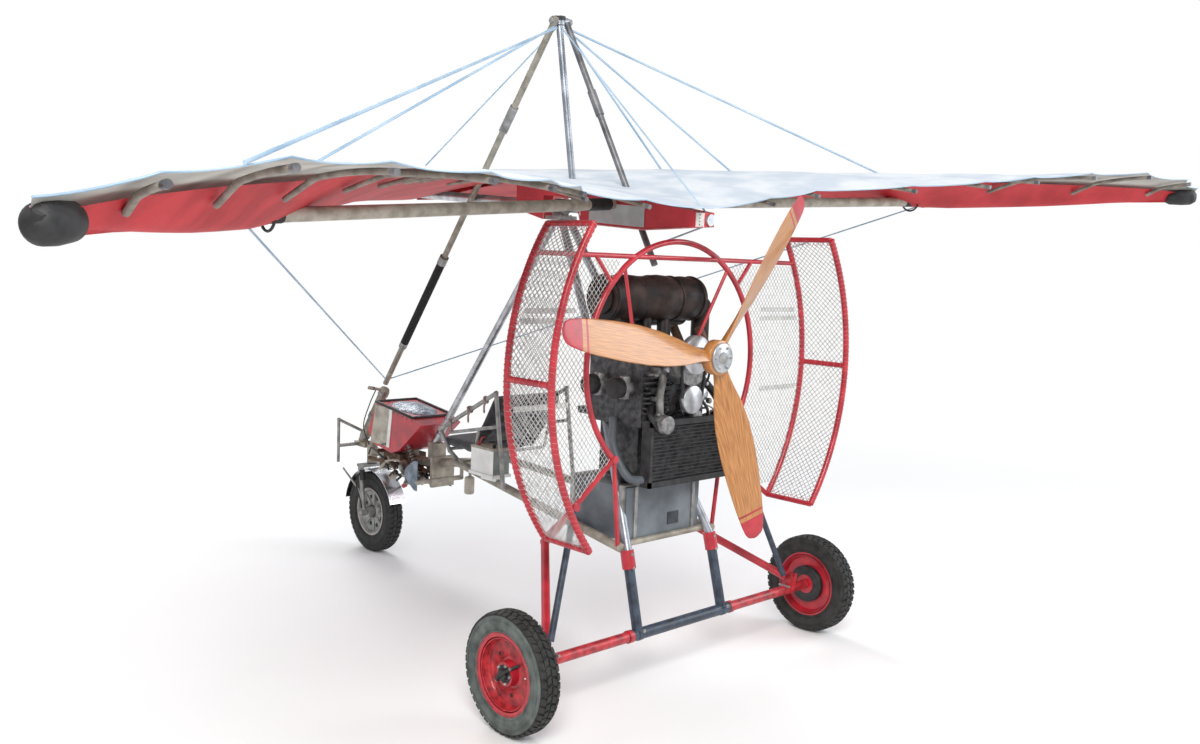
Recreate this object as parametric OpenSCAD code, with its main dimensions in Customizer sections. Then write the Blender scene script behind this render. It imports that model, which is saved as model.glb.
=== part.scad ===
// Two-seat class microlight aircraft: three-wheeled open carriage under a flexible wing.
// Millimetres. X to the aircraft's right, Y forward, Z up, ground at Z = 0.

/* [Wheels] */
// Rear tyre outside diameter
tyre_d = 480; // [400:5:600]
// Rear tyre width
tyre_w = 103; // [80:1:140]
// Rear rim outside diameter
rim_d = 316; // [250:2:340]
// Nose tyre outside diameter
nose_tyre_d = 488; // [400:2:500]
// Nose tyre width
nose_tyre_w = 98; // [80:1:110]
// Nose rim outside diameter
nose_rim_d = 288; // [240:2:330]
// Distance between the rear wheels' middles
track = 1933; // [1700:10:2300]
// Distance from the rear axle to the nose axle
wheelbase = 2514; // [2450:2:2900]

/* [Carriage] */
// Rear axle beam diameter
axle_tube_d = 50; // [36:1:56]
// Diameter of the dark lower legs
leg_d = 46; // [30:1:50]
// Diameter of the bright pylon tubes and front strut
pylon_d = 38; // [25:1:44]
// Diameter of the red drag struts
drag_d = 38; // [25:1:44]
// Diameter of the dark side struts
side_strut_d = 28; // [20:1:34]
// Diameter of the lower rails
rail_d = 40; // [25:1:46]
// Diameter of the guard tubes
guard_tube_d = 27; // [18:1:34]
// Steering stem diameter
stem_d = 28; // [20:1:34]
// Wheel axle pin diameter
pin_d = 20; // [14:1:25]

/* [Power unit] */
// Propeller diameter
prop_d = 1788; // [1500:4:1840]
// Widest blade chord
blade_chord = 172; // [130:2:200]
// Propeller plane, behind the rear axle
prop_back = 130; // [120:1:150]
// Engine block width
engine_w = 400; // [300:5:440]
// Engine block length
engine_l = 330; // [240:5:340]
// Engine block height
engine_h = 290; // [200:5:300]

/* [Wing] */
// Half span to the tip cap's end
half_span = 2930; // [2700:10:3200]
// Keel tube diameter
keel_d = 50; // [40:1:56]
// Crossbar diameter
crossbar_d = 50; // [36:1:60]
// Leading edge pocket thickness
lead_t = 64; // [50:1:80]
// Depth of the red lower surface under the sail, outboard
belly = 62; // [30:2:90]
// Sail thickness
sail_t = 10; // [6:1:14]
// Length of the keel tube behind the hang bolt
keel_back = 962; // [900:2:968]
// Height of the masthead over the hang bolt
mast_h = 880; // [700:10:950]

/* [Hidden] */
$fn = 48;
run_gap = 0.06;        // radial running clearance of a shaft
move_gap = 6;          // clearance between moving pieces
datum_h = 240;         // axle height that the carriage heights are measured for
prop_h = 1425;         // propeller axis height
hang = [0, 903, 2068]; // hang point
wing_roll = 4.35;      // parked roll, left side down
keel_pitch = 4;        // keel rises forward
lift = tyre_d / 2 - datum_h;
tail_y = -1027;        // rearmost point of the wing
y_mid = (wheelbase + nose_tyre_d / 2 + 15 + tail_y) / 2;
steer_y = wheelbase + 45;
crown_gap = 34;        // mudguard over the nose tyre
crown_z = nose_tyre_d + crown_gap;
head_top = datum_h + lift + 425;
prop_y = -prop_back;
guard_more = 182;      // guard arc radius over the propeller's
guard_in = 136;        // guard arc centre past the middle
guard_drop = 71;       // guard arc centre below the propeller axis
guard_r = prop_d / 2 + guard_more;
guard_c = [-guard_in, prop_h - guard_drop];
guard_top_a = 33.6;
guard_low_a = -37.3;
guard_front_y = 112;
guard_rear_y = -146;
disc_at_wing = sqrt(pow(prop_d / 2, 2) - pow(hang[2] - 90 - prop_h, 2)) + 40;

// colours
red = [0.72, 0.05, 0.08];
steel = [0.62, 0.63, 0.65];
navy = [0.12, 0.16, 0.24];
black = [0.06, 0.06, 0.06];
tan = [0.62, 0.58, 0.50];

// placing
module ground() translate([0, -y_mid, 0]) children();
module frame() translate([0, -y_mid, lift]) children();
module wing() translate([0, -y_mid, lift]) translate(hang) rotate([0, -wing_roll, 0])
  rotate([keel_pitch, 0, 0]) children();
module both() { children(); mirror([1, 0, 0]) children(); }

// a round rod from a to b
module rod(a, b, d) {
  v = b - a;
  length = norm(v);
  translate(a) rotate([0, acos(v[2] / length), atan2(v[1], v[0])]) cylinder(d = d, h = length);
}
// rods end to end with round elbow fittings
module path(points, d) {
  for (i = [0 : len(points) - 2]) rod(points[i], points[i + 1], d);
  if (len(points) > 2) for (i = [1 : len(points) - 2]) translate(points[i]) sphere(d = d + 4);
}
// a box from its low corner to its high corner
module block(a, b) translate(a) cube(b - a);
function at(a, b, t) = a + (b - a) * t;

// rear axle
beam_half = 330;
wheel_in = track / 2 - tyre_w / 2;
hub_in = 44;
hub_out = 34;
module axle_beam() color(navy) frame() rod([-beam_half, 0, datum_h], [beam_half, 0, datum_h], axle_tube_d);
module axle_ends() color(red) frame() both() {
  rod([beam_half, 0, datum_h], [track / 2 - hub_in - move_gap, 0, datum_h], axle_tube_d - 4);
  rod([track / 2 - hub_in - move_gap, 0, datum_h], [track / 2 + hub_out + 18, 0, datum_h], pin_d);
  rod([track / 2 + hub_out + 6, 0, datum_h], [track / 2 + hub_out + 18, 0, datum_h], pin_d + 12);
  block([wheel_in - 130, -20, datum_h + 10], [wheel_in - 90, 40, datum_h + 75]);
}

// lower legs, collars and pylon
leg_foot = [274, 4, 245];
collar_c = [270, 83, 545];
collar_half = 40;
leg_dir = (collar_c - leg_foot) / norm(collar_c - leg_foot);
pylon_low = [269, 86, 575];
pylon_mid = [120, 480, 1340];
pylon_top = [24, 872, 2018];
module lower_legs() color(navy) frame() both() rod(leg_foot, collar_c - leg_dir * collar_half, leg_d);
module leg_collars() color(red) frame() both()
  rod(collar_c - leg_dir * collar_half, collar_c + leg_dir * collar_half, leg_d + 14);
module pylon_tubes() color(steel) frame() both() path([pylon_low, pylon_mid, pylon_top], pylon_d);
strut_foot = [0, 1889, 770];
strut_top = [0, 925, 2018];
module front_strut() color(steel) frame() {
  rod(strut_foot, strut_top, pylon_d);
  rod(strut_foot - [0, -24, 40], at(strut_foot, strut_top, 0.04), pylon_d + 10);
}

// hang bracket: a collar around the keel on a saddle
collar_len = 80;
collar_d = keel_d + 26;
module hang_bracket() color(steel) {
  wing() difference() {
    union() {
      rotate([90, 0, 0]) cylinder(d = collar_d, h = collar_len, center = true);
      translate([0, 0, -keel_d / 2 - 22]) cube([44, collar_len - 10, 34], center = true);
    }
    rotate([90, 0, 0]) cylinder(d = keel_d + 2 * run_gap, h = collar_len + 2, center = true);
  }
  frame() block([-52, hang[1] - 62, 2004], [52, hang[1] + 52, 2022]);
}

// struts to the axle ends
drag_low = [track / 2 - 190, 20, 300];
drag_high = [430, 444, 568];
rail_low = [300, 100, 596];
rail_high = [150, 1500, 728];
module drag_struts() color(red) frame() both() {
  rod(drag_low, drag_high, drag_d);
  rod(drag_high, at(rail_low, rail_high, 0.29) + [8, 0, -2], drag_d - 2);
  translate(drag_high) sphere(d = drag_d + 6);
}
side_low = [track / 2 - 208, 15, 310];
side_high = [566, 114, 796];
module side_struts() color(navy) frame() both() rod(side_low, side_high, side_strut_d);
module lower_rails() color(red) frame() {
  both() rod(rail_low, rail_high, rail_d);
  rod([-rail_high[0] - 6, 1470, 724], [rail_high[0] + 6, 1470, 724], rail_d - 12);
  rod([-rail_low[0] + 4, 130, 600], [rail_low[0] - 4, 130, 600], rail_d - 12);
}

// nose beam, steering head and nose post
beam_nose_z = 610;
head_d = 64;
module nose_beam() color(tan) frame() {
  path([[0, 1490, 712], [0, 1900, 640], [0, steer_y - head_d / 2 + 4, beam_nose_z]], 50);
  path([[-110, 1500, 640], [-110, 1900, 540], [-60, 2100, 500]], 26);
  rod([-110, 1500, 640], [-110, 1500, 720], 20);
  rod([-60, 2100, 500], [0, 2130, 600], 22);
  block([-75, 1820, 520], [75, 1840, 690]);
  block([-30, 1840, 655], [30, 1930, 760]);
  block([-34, 2110, 612], [34, 2190, 682]);
}
module steering_head() color(tan) {
  ground() difference() {
    translate([0, steer_y, crown_z + 16]) cylinder(d = head_d, h = head_top - crown_z - 16);
    translate([0, steer_y, crown_z]) cylinder(d = stem_d + 2 * run_gap, h = head_top);
  }
  ground() difference() {
    block([-38, steer_y + head_d / 2 - 6, head_top - 40], [38, steer_y + 150, head_top - 12]);
    translate([0, steer_y, crown_z]) cylinder(d = stem_d + 2, h = head_top);
  }
}
post_low = [0, wheelbase + 156, 655];
post_high = [0, wheelbase - 84, 1000];
module nose_post() color(tan) frame() {
  rod(post_low, post_high, 56);
  rod(post_high - [0, -4, 6], post_high + [-96, 34, 12], 18);
}
bar_half = 172;
bar_y = wheelbase + 150;
module foot_frame() color(steel) frame() {
  rod([-bar_half, bar_y, 640], [bar_half, bar_y, 640], 22);
  both() path([[bar_half, bar_y, 540], [bar_half, bar_y, 800], [20, bar_y - 24, 720]], 18);
}

// pod: a small wedge fairing round the strut's foot
pod_w = 270;
pod_back = wheelbase - 664;
pod_front = wheelbase - 120;
module pod() color(red) frame() difference() {
  translate([-pod_w / 2, 0, 0]) rotate([90, 0, 90]) linear_extrude(pod_w)
    polygon([[pod_back, 870], [pod_back + 210, 700], [pod_front - 250, 672], [pod_front - 60, 700],
      [pod_front, 770], [pod_front - 90, 948], [pod_back + 80, 900]]);
  rod(strut_foot, strut_top, pylon_d + 0.4);
  rod(strut_foot - [0, -24, 40], at(strut_foot, strut_top, 0.04), pylon_d + 10.4);
}
module pod_cover() color([0.45, 0.5, 0.55]) frame() difference() {
  translate([0, (pod_back + pod_front) / 2 - 2, 916]) rotate([6.5, 0, 0])
    scale([1, 1.45, 0.28]) sphere(d = 230);
  pod_solid();
}
module pod_solid() translate([-pod_w / 2, 0, 0]) rotate([90, 0, 90]) linear_extrude(pod_w)
  polygon([[pod_back - 100, 400], [pod_front + 100, 400], [pod_front - 90, 948], [pod_back + 80, 900],
    [pod_back, 870]]);

// seat, battery
seat_w = 440;
seat_back_y = 1075;
module seat() color(black) frame() translate([-seat_w / 2, 0, 0]) rotate([90, 0, 90])
  linear_extrude(seat_w) polygon([[1560, 812], [1550, 880], [1310, 890], [1150, 1132], [1078, 1132],
    [1225, 885], [1275, 812]]);
seat_side = seat_w / 2 + 12;
module seat_frame() color(steel) frame() {
  both() {
    path([[150, 1490, 744], [190, 1500, 790], [seat_side, 1530, 905], [seat_side, 1071, 1147],
      [seat_side, 995, 691], [208, 988, 672]], 22);
    rod([seat_side, 1440, 900], [seat_side, 1043, 983], 18);
  }
  rod([-seat_side, 1235, 812], [seat_side, 1235, 812], 16);
  rod([-196, 1502, 800], [196, 1502, 800], 18);
  both() rod([seat_side, 1235, 812], [seat_side, 1200, 950], 15);
}
module battery() color([0.8, 0.8, 0.8]) frame() {
  block([-262, 1040, 742], [-162, 1220, 872]);
  block([-270, 1032, 728], [-154, 1228, 742]);
  block([-212, 1080, 698], [-176, 1200, 728]);
}

// tank and its cradle
tank_half = 236;
module tank() color([0.55, 0.55, 0.53]) frame() block([-tank_half, 140, 604], [tank_half, 500, 840]);
module tank_cradle() color(steel) frame() for (y = [150, 465]) {
  block([-tank_half - 12, y, 590], [tank_half + 12, y + 25, 604]);
  both() block([tank_half, y, 590], [tank_half + 12, y + 25, 850]);
  block([-tank_half - 12, y, 840], [tank_half + 12, y + 25, 850]);
}

// engine group
engine_z = 1105;
module engine() color([0.2, 0.2, 0.21]) frame() {
  block([-engine_w / 2, 110, engine_z], [engine_w / 2, 110 + engine_l, engine_z + engine_h]);
  block([-120, 200, 850], [-90, 440, engine_z]);
  block([90, 200, 850], [120, 440, engine_z]);
  block([-210, 430, engine_z + 20], [210, 500, engine_z + 50]);
}
module gearbox() color([0.3, 0.3, 0.31]) frame() {
  translate([0, 110, prop_h - 40]) rotate([90, 0, 0]) cylinder(d = 190, h = 110);
  rod([0, 0, prop_h], [0, -60, prop_h], 70);
  rod([0, -60, prop_h], [0, prop_y + 34 - 40, prop_h], 26);
}
module radiator() color(black) frame() {
  block([-200, 56, 850], [320, 100, 1140]);
  block([-120, 100, 1104], [-80, 116, 1134]);
  block([80, 100, 1104], [120, 116, 1134]);
}
module silencer() color([0.16, 0.13, 0.12]) frame() {
  rod([-300, 275, 1655], [280, 275, 1655], 196);
  rod([-270, 318, 1588], [240, 318, 1588], 118);
  rod([262, 275, 1640], [345, 275, 1616], 90);
  translate([345, 275, 1616]) sphere(d = 100);
  rod([345, 275, 1616], [345, 275, 1450], 86);
  for (x = [-120, 110]) rod([x, 275, 1600], [x, 275, engine_z + engine_h - 4], 44);
}

// propeller guard
hoop_r = 530;
hoop_c = [0, 112, 1378];
hoop_low_a = -48;
bar_z = 1836;
guard_top = [guard_c[0] + guard_r * cos(guard_top_a), guard_front_y, guard_c[1] + guard_r * sin(guard_top_a)];
guard_low = [guard_c[0] + guard_r * cos(guard_low_a), guard_front_y, guard_c[1] + guard_r * sin(guard_low_a)];
bar_x = guard_c[0] + sqrt(pow(guard_r, 2) - pow(bar_z - guard_c[1], 2));
hoop_foot = [hoop_r * cos(hoop_low_a), hoop_c[1], hoop_c[2] + hoop_r * sin(hoop_low_a)];
hoop_knee = [566, hoop_c[1], 808];
module boss(c) translate(c + [0, (guard_tube_d + 5) / 2, 0]) rotate([90, 0, 0])
  cylinder(d = guard_tube_d + 7, h = guard_tube_d + 5);
// a torus piece in a plane of constant y
module ring_arc(c, y, r, a0, a1, d) translate([c[0], y, c[1]]) rotate([90, 0, 0])
  rotate([0, 0, a0]) rotate_extrude(angle = a1 - a0, $fn = 120) translate([r, 0]) circle(d = d);
module hoop() color(red) frame() {
  ring_arc([0, hoop_c[2]], hoop_c[1], hoop_r, hoop_low_a, 180 - hoop_low_a, guard_tube_d - 2);
  both() {
    boss(hoop_foot);
    rod(hoop_foot, hoop_knee, guard_tube_d - 3);
    boss(hoop_knee);
    rod(hoop_knee, [guard_low[0] - 6, guard_front_y, guard_low[2] + 4], guard_tube_d - 3);
    rod([500, guard_front_y, bar_z], [403, guard_front_y, hoop_c[2] + 345], 18);
    rod(hoop_foot - [4, 0, 4], rail_low + [8, 12, 6], 20);
  }
  rod([-bar_x + 8, guard_front_y, bar_z], [bar_x - 8, guard_front_y, bar_z], guard_tube_d - 6);
  both() rod([330, guard_front_y + 2, 1790], [engine_w / 2 - 30, 180, engine_z + engine_h - 6], 16);
}
module guard_half() {
  ring_arc(guard_c, guard_front_y, guard_r, guard_low_a, guard_top_a, guard_tube_d);
  ring_arc(guard_c, guard_rear_y, guard_r, guard_low_a, guard_top_a, guard_tube_d);
  for (a = [guard_low_a, 0, guard_top_a])
    rod([guard_c[0] + guard_r * cos(a), guard_front_y, guard_c[1] + guard_r * sin(a)],
      [guard_c[0] + guard_r * cos(a), guard_rear_y, guard_c[1] + guard_r * sin(a)], guard_tube_d - 3);
}
module right_guard() color(red) frame() guard_half();
module left_guard() color(red) frame() mirror([1, 0, 0]) guard_half();
module guard_band() translate([guard_c[0], guard_front_y - guard_tube_d / 2, guard_c[1]]) rotate([90, 0, 0])
  rotate([0, 0, guard_low_a + 0.8]) rotate_extrude(angle = guard_top_a - guard_low_a - 1.6, $fn = 120)
    translate([guard_r - 1, 0]) square([2, guard_front_y - guard_rear_y - guard_tube_d]);
module right_guard_mesh() color(steel) frame() guard_band();
module left_guard_mesh() color(steel) frame() mirror([1, 0, 0]) guard_band();
// the flat bays between the hoop and the guard's front arc
module inner_mesh() color(steel) frame() both() translate([0, guard_front_y + 1, 0]) rotate([90, 0, 0])
  linear_extrude(2) intersection() {
    difference() {
      translate(guard_c) circle(r = guard_r - guard_tube_d / 2, $fn = 120);
      translate([0, hoop_c[2]]) circle(r = hoop_r + guard_tube_d / 2, $fn = 120);
    }
    polygon([[440, 1000], [590, 815], [guard_low[0] - 40, guard_low[2] + 46], [1100, guard_low[2] + 46],
      [1100, bar_z - 20], [360, bar_z - 20]]);
  }

// nose fork and wheel
fork_w = 74;
module nose_fork() color(steel) ground() {
  translate([0, steer_y, crown_z - 4]) cylinder(d = stem_d, h = head_top - crown_z - 2);
  block([-fork_w - 12, steer_y - 34, crown_z - 6], [fork_w + 12, steer_y + 34, crown_z + 10]);
  both() {
    block([fork_w, steer_y - 26, crown_z - 30], [fork_w + 10, steer_y + 26, crown_z + 8]);
    rod([fork_w + 5, steer_y, crown_z - 20], [fork_w + 5, wheelbase, nose_tyre_d / 2], 26);
    rod([fork_w - 6, wheelbase, nose_tyre_d / 2], [fork_w + 22, wheelbase, nose_tyre_d / 2], 40);
    rod([fork_w + 5, wheelbase + 60, nose_tyre_d / 2 + 128], [fork_w + 5, wheelbase + 4, nose_tyre_d / 2 + 8], 14);
    translate([fork_w + 5, wheelbase + 60, nose_tyre_d / 2 + 128]) sphere(d = 20);
    rod([fork_w + 5, wheelbase + 60, nose_tyre_d / 2 + 128], [145, wheelbase + 140, 503], 12);
  }
  rod([-fork_w, wheelbase, nose_tyre_d / 2], [fork_w, wheelbase, nose_tyre_d / 2], pin_d);
}
guard_r_in = nose_tyre_d / 2 + 16;
module nose_mudguard() color(steel) ground() {
  translate([0, wheelbase, nose_tyre_d / 2]) rotate([0, 90, 0]) rotate([0, 0, 100])
    rotate_extrude(angle = 150, $fn = 96) translate([guard_r_in, -54]) square([3, 108]);
  block([-20, steer_y - 12, crown_z - 21], [20, steer_y + 12, crown_z - 4]);
}
// revolved sections: radius from the axis, place along the axle
module tyre(d, w, bead) rotate_extrude($fn = 120) polygon([[bead, -w * 0.40], [bead + 18, -w * 0.46],
  [bead + (d / 2 - bead) * 0.5, -w / 2], [d / 2 - 22, -w * 0.46], [d / 2 - 5, -w * 0.36], [d / 2, -w * 0.2],
  [d / 2, w * 0.2], [d / 2 - 5, w * 0.36], [d / 2 - 22, w * 0.46], [bead + (d / 2 - bead) * 0.5, w / 2],
  [bead + 18, w * 0.46], [bead, w * 0.40]]);
module rim(d, w, dish, hub_r, h0, h1) difference() {
  rotate_extrude($fn = 96) polygon([[0, -h0], [hub_r, -h0], [hub_r, dish - 6], [d / 2 - 26, dish - 6],
    [d / 2 - 14, -w / 2], [d / 2, -w / 2], [d / 2, w / 2], [d / 2 - 14, w / 2], [d / 2 - 20, dish + 2],
    [hub_r + 8, dish + 2], [hub_r, h1], [0, h1]]);
  translate([0, 0, -h0 - 1]) cylinder(d = pin_d + 2 * run_gap, h = h0 + h1 + 2);
}
module at_rear(s) frame() translate([s * track / 2, 0, datum_h]) rotate([0, s * 90, 0]) children();
module at_nose() ground() translate([0, wheelbase, nose_tyre_d / 2]) rotate([0, 90, 0]) children();
module left_tyre() color(black) at_rear(-1) tyre(tyre_d, tyre_w, rim_d / 2);
module right_tyre() color(black) at_rear(1) tyre(tyre_d, tyre_w, rim_d / 2);
module nose_tyre() color(black) at_nose() tyre(nose_tyre_d, nose_tyre_w, nose_rim_d / 2);
module left_rim() color(red) at_rear(-1) rim(rim_d, tyre_w * 0.8, -10, 46, hub_in, hub_out);
module right_rim() color(red) at_rear(1) rim(rim_d, tyre_w * 0.8, -10, 46, hub_in, hub_out);
module nose_rim() color(steel) at_nose() rim(nose_rim_d, nose_tyre_w * 0.8, 0, 34, fork_w - 12, fork_w - 12);

// propeller: three blades on a hub. Columns: share of radius, chord share, thickness, pitch
blade_rows = [[0.05, 0.36, 34, 48], [0.5, 1, 18, 26], [1, 0.6, 6, 14]];
blade_angles = [51.9, 171.9, 291.9];
module blade() for (i = [0 : len(blade_rows) - 2]) hull() for (k = [i, i + 1])
  translate([blade_rows[k][0] * (prop_d / 2 - 4), 0, 0]) rotate([blade_rows[k][3], 0, 0])
    rotate([0, 90, 0]) scale([blade_rows[k][2] / blade_chord, 1, 1]) scale([1, blade_rows[k][1], 1])
      cylinder(d = blade_chord, h = 2, $fn = 24, center = true);
module propeller() color([0.62, 0.35, 0.14]) frame() difference() {
  union() {
    translate([0, prop_y, prop_h]) for (a = blade_angles) rotate([0, -a, 0]) rotate([0, 0, 0]) blade_up();
    translate([0, prop_y + 22, prop_h]) rotate([90, 0, 0]) cylinder(d = 150, h = 44);
    translate([0, prop_y - 22, prop_h]) rotate([90, 0, 0]) cylinder(d = 128, h = 12);
  }
  for (a = [0 : 60 : 300]) translate([48 * cos(a), prop_y - 16, prop_h + 48 * sin(a)])
    rotate([90, 0, 0]) cylinder(d = 8.4, h = 30);
  translate([0, prop_y + 30, prop_h]) rotate([90, 0, 0]) cylinder(d = 26 + 2 * run_gap, h = 42);
}
module blade_up() rotate([-90, 0, 0]) rotate([0, 0, 0]) blade();

// wing, in the keel's own frame with the hang point at the origin
nose_y = 1440;
// columns: place out, trailing edge y, leading edge z, trailing edge z, camber
// the first rows keep ahead of the propeller
function lead_y(x) = nose_y + 60 - 1.16 * x;
ribs = [
  [0, -960, 0, 40, 130],
  [disc_at_wing, -960, 20, 110, 120],
  [960, -1215, 26, 138, 110],
  [1300, -1465, 32, 170, 95],
  [1658, -1578, 36, 200, 80],
  [2048, -1690, 40, 226, 62],
  [2386, -1830, 70, 236, 40],
  [2696, -1920, 105, 205, 20],
  [half_span - 10, -1906, 122, 160, 6]];
chord_at = [0, 0.012, 0.05, 0.1, 0.18, 0.3, 0.5, 0.75, 1];
function hump(t) = t < 0.3 ? 1 - pow((0.3 - t) / 0.3, 2) : 1 - pow((t - 0.3) / 0.7, 2);
function thick(t) = t < 0.1 ? lead_t * (t < 0.005 ? 0.45 : t < 0.03 ? 0.85 : 1)
  : t < 0.3 ? lead_t + (sail_t - lead_t) * (t - 0.1) / 0.2 : sail_t;
function sag(t) = t < 0.55 ? sin(180 * pow(t / 0.55, 0.6)) : 0;
function belly_at(x) = belly * (1 + 0.6 * max(0, 1 - x / 1000)) * (1 - pow(x / half_span, 8));
function skin(r, t, up) = [r[0], lead_y(r[0]) + (r[1] - lead_y(r[0])) * t,
  r[2] + (r[3] - r[2]) * t + r[4] * hump(t) + up * thick(t) / 2
    - (up < 0 ? belly_at(r[0]) * sag(t) : 0)];
module half_sail() {
  n = len(chord_at);
  m = len(ribs);
  points = [for (r = ribs) for (k = [0 : 2 * n - 1])
    k < n ? skin(r, chord_at[k], 1) : skin(r, chord_at[2 * n - 1 - k], -1)];
  ring = 2 * n;
  polyhedron(points, concat(
    [for (i = [0 : m - 2]) for (k = [0 : ring - 1])
      [(i + 1) * ring + (k + 1) % ring, i * ring + (k + 1) % ring, i * ring + k]],
    [for (i = [0 : m - 2]) for (k = [0 : ring - 1])
      [(i + 1) * ring + k, (i + 1) * ring + (k + 1) % ring, i * ring + k]],
    [for (k = [0 : n - 2]) [ring - 1 - k, k, k + 1]],
    [for (k = [0 : n - 2]) [ring - 2 - k, ring - 1 - k, k + 1]],
    [for (k = [0 : n - 2]) [(m - 1) * ring + ring - 1 - k, (m - 1) * ring + k + 1, (m - 1) * ring + k]],
    [for (k = [0 : n - 2])
      [(m - 1) * ring + ring - 1 - k, (m - 1) * ring + ring - 2 - k, (m - 1) * ring + k + 1]]));
}
module right_sail() color([0.88, 0.9, 0.92]) wing() half_sail();
module left_sail() color([0.88, 0.9, 0.92]) wing() mirror([1, 0, 0]) half_sail();

keel_front = nose_y - 60;
module keel() color(steel) wing() rod([0, -keel_back, 0], [0, keel_front, 0], keel_d);
cross_in = [30, -395, 36];
cross_out = [2000, -786, 46];
module crossbars() color(tan) wing() {
  both() {
    rod(cross_in, cross_out, crossbar_d);
    block(cross_out - [40, 40, 30], cross_out + [40, 50, 16]);
  }
}
mast_foot = [0, -98, 18];
mast_top = [0, 46, mast_h];
module kingpost() color(steel) wing() {
  rod(mast_foot, mast_top, 32);
  rod(mast_top - [0, 3, 34], mast_top + [0, 1, 6], 58);
  rod(mast_top - [56, 10, 14], mast_top - [-56, 10, 14], 26);
}
column_top = [-43, 16, mast_h - 6];
column_low = [-45, 1500, -1146];
grip_t = [0.62, 0.80];
module control_column() color(tan) wing() {
  rod(column_top, column_low, 32);
  rod(at(column_top, column_low, grip_t[0]), at(column_top, column_low, grip_t[1]), 44);
  rod(at(column_top, column_low, 0.2), at(column_top, column_low, 0.26), 42);
}
post_top = [43, 46, mast_h - 6];
post_end = [43, -603, -228];
module rear_post() color(tan) wing() {
  rod(post_top, post_end, 30);
  rod(at(post_top, post_end, 0.3), at(post_top, post_end, 0.4), 40);
}
// red pocket along the keel, open round the hang bracket
module keel_pocket() color(red) wing() difference() {
  union() {
    translate([-32, 0, 0]) rotate([90, 0, 90]) linear_extrude(64)
      polygon([[-948, -28], [-948, 30], [-600, 60], [300, 120], [300, -30], [100, -66], [-600, -66]]);
  }
  rod([0, -keel_back - 5, 0], [0, keel_front, 0], keel_d);
  translate([-60, -176, -200]) cube([120, 268, 250]);
}
// the main stays, from the masthead and to the tube ends
stay_d = 5;
module stays() color(steel) wing() {
  both() rod(mast_top + [26, 0, -24], cross_out + [0, -10, 40], stay_d);
  rod(mast_top + [0, -27, -24], [0, -keel_back + 20, 20], stay_d);
  rod(mast_top + [0, 24, -24], [0, keel_front - 20, 20], stay_d);
  rod(cross_out - [0, 0, 20], at(column_top, column_low, 0.985) + [12, 0, 0], stay_d);
  rod([-cross_out[0], cross_out[1], cross_out[2] - 20], at(column_top, column_low, 0.985) - [12, 0, 0], stay_d);
  rod(at(post_top, post_end, 0.92) - [0, 8, 0], [10, -keel_back + 20, -20], stay_d);
}

axle_beam();
axle_ends();
lower_legs();
leg_collars();
pylon_tubes();
hang_bracket();
front_strut();
drag_struts();
side_struts();
lower_rails();
nose_beam();
steering_head();
nose_post();
foot_frame();
pod();
pod_cover();
seat();
seat_frame();
battery();
tank();
tank_cradle();
engine();
gearbox();
radiator();
silencer();
hoop();
left_guard();
right_guard();
left_guard_mesh();
right_guard_mesh();
inner_mesh();
nose_fork();
nose_mudguard();
nose_tyre();
nose_rim();
left_tyre();
left_rim();
right_tyre();
right_rim();
propeller();
keel();
crossbars();
kingpost();
control_column();
rear_post();
keel_pocket();
left_sail();
right_sail();
stays();
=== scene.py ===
import math
import bpy
import numpy as np
from mathutils import Matrix, Vector


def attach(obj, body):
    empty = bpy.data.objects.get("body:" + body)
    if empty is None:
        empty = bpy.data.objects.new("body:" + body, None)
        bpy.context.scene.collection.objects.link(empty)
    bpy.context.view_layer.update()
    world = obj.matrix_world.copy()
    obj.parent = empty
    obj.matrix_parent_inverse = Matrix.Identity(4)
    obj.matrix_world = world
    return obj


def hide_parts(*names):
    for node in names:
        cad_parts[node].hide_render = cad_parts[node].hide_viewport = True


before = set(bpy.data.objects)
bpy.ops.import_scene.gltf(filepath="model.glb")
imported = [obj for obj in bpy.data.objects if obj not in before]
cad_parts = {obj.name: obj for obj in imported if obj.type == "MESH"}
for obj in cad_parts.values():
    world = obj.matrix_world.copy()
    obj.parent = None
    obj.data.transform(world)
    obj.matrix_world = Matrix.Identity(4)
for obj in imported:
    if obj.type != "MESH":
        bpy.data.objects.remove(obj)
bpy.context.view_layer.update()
Y0 = 0.873  # the frame's origin lies this far ahead of the rear axle
SEED, ENGINE_BITS, NOSE_BITS = 7, 46, 54  # the seeded small parts of engine and nose
rng = np.random.default_rng(SEED)


def F(x, y, z):
    return np.array([x, y - Y0, z], float)


HANG = F(0, 0.903, 2.068)
ROLL, PITCH = -4.35, 4  # how the wing rests, in degrees
RW = np.array(Matrix.Rotation(math.radians(ROLL), 3, "Y") @ Matrix.Rotation(math.radians(PITCH), 3, "X"))


def W(x, y, z):
    """A point given in the keel's own frame, from the hang point."""
    return HANG + RW @ np.array([x, y, z], float)


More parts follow.
